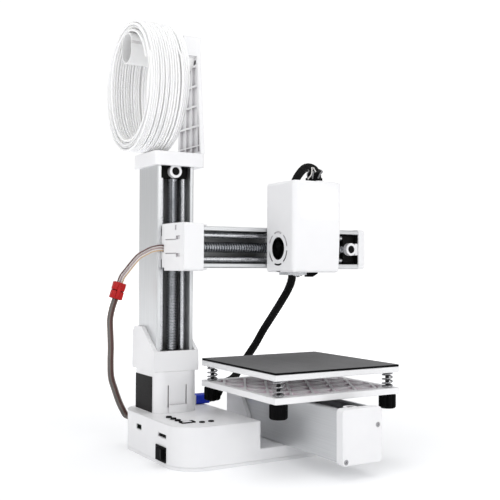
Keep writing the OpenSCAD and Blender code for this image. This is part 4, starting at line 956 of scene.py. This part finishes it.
def make_white_looks():
    """The white plastics, each with the painted shade that its closed-in places turn to."""
    white = (0.87, 0.87, 0.88)
    shade = (0.83, 0.83, 0.845)
    # Painted shade for the closed-in places of the white plastics
    grey = (0.5, 0.48, 0.5)
    LOOKS["white"] = moulded("white_plastic", white, shade, crevice_shade=grey)
    LOOKS["shell"] = moulded("shell_plastic", white, shade, edge=1.5*MM, crevice_shade=grey)
    LOOKS["bed_white"] = moulded("bed_white", (0.84, 0.84, 0.85), (0.8, 0.8, 0.81), (0.4, 0.55),
                                 crevice_shade=(0.4, 0.39, 0.42))
    LOOKS["lattice"] = moulded("lattice", (0.9, 0.9, 0.91), (0.87, 0.87, 0.88), (0.4, 0.55),
                               crevice_shade=(0.86, 0.74, 0.8))
    LOOKS["peg"] = moulded("peg_plastic", (0.86, 0.86, 0.86), (0.83, 0.83, 0.83), crevice_shade=(0.36, 0.31, 0.33))
    LOOKS["film"] = moulded("film", (0.9, 0.9, 0.915), (0.88, 0.88, 0.9), (0.2, 0.26), grain=5200, edge=0)
    LOOKS["filament"] = filament_look()


def make_black_looks():
    """The black plastics, rubber and braid, and the near black used for painted shadow."""
    LOOKS["black"] = moulded("black_plastic", (0.002, 0.002, 0.002), (0.004, 0.004, 0.005), (0.45, 0.6),
                             gloss=0.04)
    LOOKS["panel"] = moulded("panel", (0.006, 0.006, 0.006), (0.012, 0.011, 0.012), (0.45, 0.6), gloss=0.12)
    # Near black for painted shadow in holes, recesses and seams, and for the mode switch's dark frame
    LOOKS["shadow"] = moulded("painted_shadow_black", (0.003, 0.003, 0.003), (0.006, 0.006, 0.006), (0.6, 0.75),
                              gloss=0.1)
    LOOKS["rubber"] = moulded("rubber", (0.006, 0.006, 0.006), (0.011, 0.011, 0.011), (0.6, 0.8), gloss=0.2)
    LOOKS["cable_core"] = moulded("cable_core", (0.003, 0.003, 0.003), (0.005, 0.005, 0.005), (0.6, 0.8),
                                  gloss=0.1)
    LOOKS["braid"] = moulded("braid", (0.003, 0.003, 0.003), (0.009, 0.009, 0.009), (0.5, 0.7), grain=6000,
                             edge=0, gloss=0.12)


def make_metal_looks():
    """The metals, and the extruded profiles with their lines along each axis."""
    LOOKS["steel"] = metal("ground_steel", (0.62, 0.63, 0.65), (0.52, 0.53, 0.55))
    LOOKS["screw_steel"] = metal("screw_steel", (0.4, 0.41, 0.43), (0.28, 0.29, 0.31), (0.18, 0.3), 0)
    LOOKS["nickel"] = metal("nickel", (0.42, 0.42, 0.43), (0.3, 0.3, 0.31), (0.2, 0.32), 0)
    LOOKS["black_steel"] = metal("black_steel", (0.06, 0.06, 0.065), (0.1, 0.1, 0.1), (0.3, 0.42), 0)
    LOOKS["brass"] = metal("brass", (0.75, 0.55, 0.24), (0.66, 0.46, 0.18))
    LOOKS["dark_metal"] = metal("motor_case", (0.14, 0.14, 0.15), (0.2, 0.2, 0.21), (0.35, 0.5))
    for axis, name in enumerate(("profile_x", "profile_y", "profile_z")):
        LOOKS[name] = extruded(name, axis, (0.66, 0.67, 0.68), (0.62, 0.63, 0.64))


def make_coloured_looks():
    """The build sheet, the board, the coloured plugs and the wires."""
    LOOKS["build_sheet"] = sheet_look()
    LOOKS["board"] = moulded("board", (0.006, 0.03, 0.015), (0.004, 0.02, 0.01), (0.3, 0.4))
    LOOKS["red"] = moulded("red_plastic", (0.5, 0.008, 0.008), (0.4, 0.006, 0.006), (0.35, 0.5), gloss=0.25)
    LOOKS["blue"] = moulded("blue_plastic", (0.008, 0.04, 0.6), (0.006, 0.03, 0.48), (0.3, 0.42), gloss=0.3)
    wires = {
        "wire_pink": ((0.42, 0.31, 0.31), (0.34, 0.25, 0.25)),
        "wire_brown": ((0.14, 0.07, 0.065), (0.1, 0.05, 0.045)),
        "wire_tan": ((0.6, 0.42, 0.26), (0.52, 0.36, 0.22)),
        "wire_white": ((0.72, 0.7, 0.68), (0.64, 0.62, 0.6)),
        "wire_grey": ((0.2, 0.2, 0.21), (0.12, 0.12, 0.125)),
        "wire_taupe": ((0.25, 0.21, 0.18), (0.19, 0.155, 0.135)),
        "wire_red_dull": ((0.09, 0.035, 0.03), (0.07, 0.028, 0.025)),
    }
    for name, (colour, shade) in wires.items():
        LOOKS[name] = moulded(name, colour, shade, (0.35, 0.5), edge=0)


def filament_look():
    """Natural white filament: glossy, a little light passes through it, and a faint painted glow."""
    material, tree, shader = material_tree("filament")
    vector = place(tree)
    slow = noise(tree, vector, 60, 2)
    fine = noise(tree, vector, 1500, 2)
    tone = tint(tree, spread(tree, slow), (0.97, 0.97, 0.965), (0.94, 0.94, 0.935))
    tree.links.new(tone, shader.inputs["Base Color"])
    tree.links.new(spread(tree, fine, 0.28, 0.4), shader.inputs["Roughness"])
    bump(tree, shader, fine, 0.05, 0.02*MM)
    shader.inputs["Subsurface Weight"].default_value = 1.0
    shader.inputs["Subsurface Scale"].default_value = 3*MM
    shader.inputs["Subsurface Radius"].default_value = (1, 1, 0.95)
    # Painted glow: a faint emission that brightens the coil
    shader.inputs["Emission Color"].default_value = (1, 1, 0.99, 1)
    shader.inputs["Emission Strength"].default_value = 0.035
    return material


def sheet_look():
    """The build sheet: matt dark grey with a fine pebbled grain and faint scrape marks."""
    material, tree, shader = material_tree("build_sheet")
    vector = place(tree)
    pebble = noise(tree, vector, 2200, 3, 0.6)
    slow = noise(tree, vector, 40, 3)
    scrape = noise(tree, place(tree, (1, 0.06, 1)), 420, 3)
    mixed = add(tree, "ShaderNodeMath", operation="MULTIPLY")
    tree.links.new(slow, mixed.inputs[0])
    tree.links.new(scrape, mixed.inputs[1])
    marks = ramp(tree, mixed.outputs[0], 0, 1, 0.12, 0.42)
    tone = tint(tree, marks, (0.105, 0.105, 0.108), (0.13, 0.13, 0.134))
    tree.links.new(tone, shader.inputs["Base Color"])
    tree.links.new(spread(tree, pebble, 0.62, 0.8), shader.inputs["Roughness"])
    bump(tree, shader, pebble, 0.3, 0.05*MM)
    return material


def paint_cad():
    """Give the CAD parts their finishes."""
    finishes = {
        "shell": ["base_shell"],
        "white": ["base_plate", "column_socket", "column_collar", "frame_clips", "top_cap",
                  "spool_upright", "y_collar", "y_front_cap", "port_block", "mode_slider",
                  "carriage_shell", "z_slider", "x_end_clip", "x_end_cap", "cable_clip", "head_back",
                  "head_cover", "filament_coil"],
        "bed_white": ["upper_plate"],
        "lattice": ["lower_plate"],
        "peg": ["spool_peg"],
        "nickel": ["cap_screws"],
        "black": ["dc_jack", "switch_bezel", "power_rocker", "button_1", "button_2", "button_3",
                  "indicator_lights", "fan_frame", "fan_rotor", "cable_upper", "cable_lower",
                  "level_knob_1", "level_knob_2", "level_knob_3", "level_knob_4"],
        "rubber": ["grip_pads"],
        "board": ["main_board"],
        "dark_metal": ["z_motor", "y_motor", "x_motor", "extruder"],
        "steel": ["frame_rods", "x_guide_rods", "idler", "hot_end", "level_springs", "z_lead_screw",
                  "x_lead_screw", "y_lead_screw"],
        "brass": ["drive_gear"],
        "red": ["ribbon_connector", "ribbon_upper", "ribbon_lower"],
        "blue": ["data_plug"],
        "profile_z": ["z_profile"],
        "profile_x": ["x_profile"],
        "profile_y": ["y_profile"],
    }
    for look, names in finishes.items():
        for name in names:
            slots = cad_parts[name].data.materials
            slots.clear()
            slots.append(LOOKS[look])


# --- camera, light and floor ---

CAMERA_AT = (-0.28882, -0.52789, 0.13143)
CAMERA_TURN = math.radians(-30.692)
CAMERA_RISE = math.radians(1.2115)
CAMERA_ROLL = math.radians(0.21987)
CAMERA_LENS = 59.712


def make_camera():
    """The camera that took the photograph, as fitted to it."""
    data = bpy.data.cameras.new("camera")
    data.sensor_width = 36
    data.lens = CAMERA_LENS
    data.clip_start = 0.01
    camera = bpy.data.objects.new("camera", data)
    camera.matrix_world = (
        Matrix.Translation(CAMERA_AT)
        @ Matrix.Rotation(CAMERA_TURN, 4, "Z")
        @ Matrix.Rotation(math.radians(90) + CAMERA_RISE, 4, "X")
        @ Matrix.Rotation(CAMERA_ROLL, 4, "Z")
    )
    bpy.context.scene.collection.objects.link(camera)
    bpy.context.scene.camera = camera


def area_light(name, at, toward, size, power):
    """A rectangular lamp at a place, facing a point; size is its width and height."""
    data = bpy.data.lights.new(name, "AREA")
    data.shape = "RECTANGLE"
    data.size, data.size_y = size
    data.energy = power
    light = bpy.data.objects.new(name, data)
    light.location = at
    light.rotation_euler = (Vector(toward) - Vector(at)).to_track_quat("-Z", "Y").to_euler()
    bpy.context.scene.collection.objects.link(light)


def make_world():
    """A white room, dimmer on the camera's side; the camera itself sees it as plain white."""
    world = bpy.data.worlds.new("studio")
    world.use_nodes = True
    tree = world.node_tree
    background = tree.nodes["Background"]
    background.inputs["Color"].default_value = (1, 1, 1, 1)
    camera_side = Vector((-0.5, -0.85, 0.1)).normalized()
    way = add(tree, "ShaderNodeTexCoord")
    toward = add(tree, "ShaderNodeVectorMath", {1: camera_side}, operation="DOT_PRODUCT")
    tree.links.new(way.outputs["Generated"], toward.inputs[0])
    bright = 0.62
    dim = 0.2
    as_seen = 1.05
    # Cosines of the angle from the camera's side where the dimming starts and where it is full
    dim_from = 0.75
    dim_full = 0.97
    room = ramp(tree, toward.outputs["Value"], bright, dim, dim_from, dim_full)
    path = add(tree, "ShaderNodeLightPath")
    seen = add(tree, "ShaderNodeMath", {1: as_seen}, operation="MULTIPLY")
    tree.links.new(path.outputs["Is Camera Ray"], seen.inputs[0])
    strength = add(tree, "ShaderNodeMath", operation="MAXIMUM")
    tree.links.new(room, strength.inputs[0])
    tree.links.new(seen.outputs[0], strength.inputs[1])
    tree.links.new(strength.outputs[0], background.inputs["Strength"])
    bpy.context.scene.view_settings.view_transform = "Standard"
    bpy.context.scene.world = world


def make_lamps():
    """Three large lamps: in front, to the left, and above."""
    middle = (0, 0, 0.12)
    area_light("key", (0.25, -1.7, 0.75), middle, (1.1, 0.9), 8)
    area_light("side", (-1.3, -0.5, 0.9), middle, (0.9, 0.9), 4.5)
    area_light("top", (0.1, 0.1, 1.5), (0, 0, 0.1), (1.0, 1.0), 7)


def make_floor():
    """White paper that glows more with distance, so that it runs into the room without an edge."""
    bpy.ops.mesh.primitive_plane_add(size=8, location=(0, 0, 0))
    floor = bpy.context.object
    floor.name = "floor"
    paper = moulded("floor_paper", (0.91, 0.915, 0.93), (0.9, 0.905, 0.92), (0.6, 0.7), grain=900, edge=0,
                    gloss=0.15)
    tree = paper.node_tree
    shader = tree.nodes["Principled BSDF"]
    shader.inputs["Emission Color"].default_value = (1, 1, 1, 1)
    distance = add(tree, "ShaderNodeVectorMath", operation="LENGTH")
    tree.links.new(place(tree), distance.inputs[0])
    near = 0.18
    near_glow = 0.14
    far = 1.3
    far_glow = 0.85
    glow = ramp(tree, distance.outputs["Value"], near_glow, far_glow, near, far)
    tree.links.new(glow, shader.inputs["Emission Strength"])
    floor.data.materials.append(paper)


# --- the printer on its stage ---

make_white_looks()
make_black_looks()
make_metal_looks()
make_coloured_looks()
paint_cad()
make_camera()
make_world()
make_lamps()
make_floor()
make_cables()
make_connector()
make_plug()
make_screws()
make_coil()
make_bed_top()
make_springs()
make_clips()
make_panel()
make_film()
make_port_shadows()
make_mode_frame()
make_light_lenses()
make_fan_shadow()
make_head_wires()
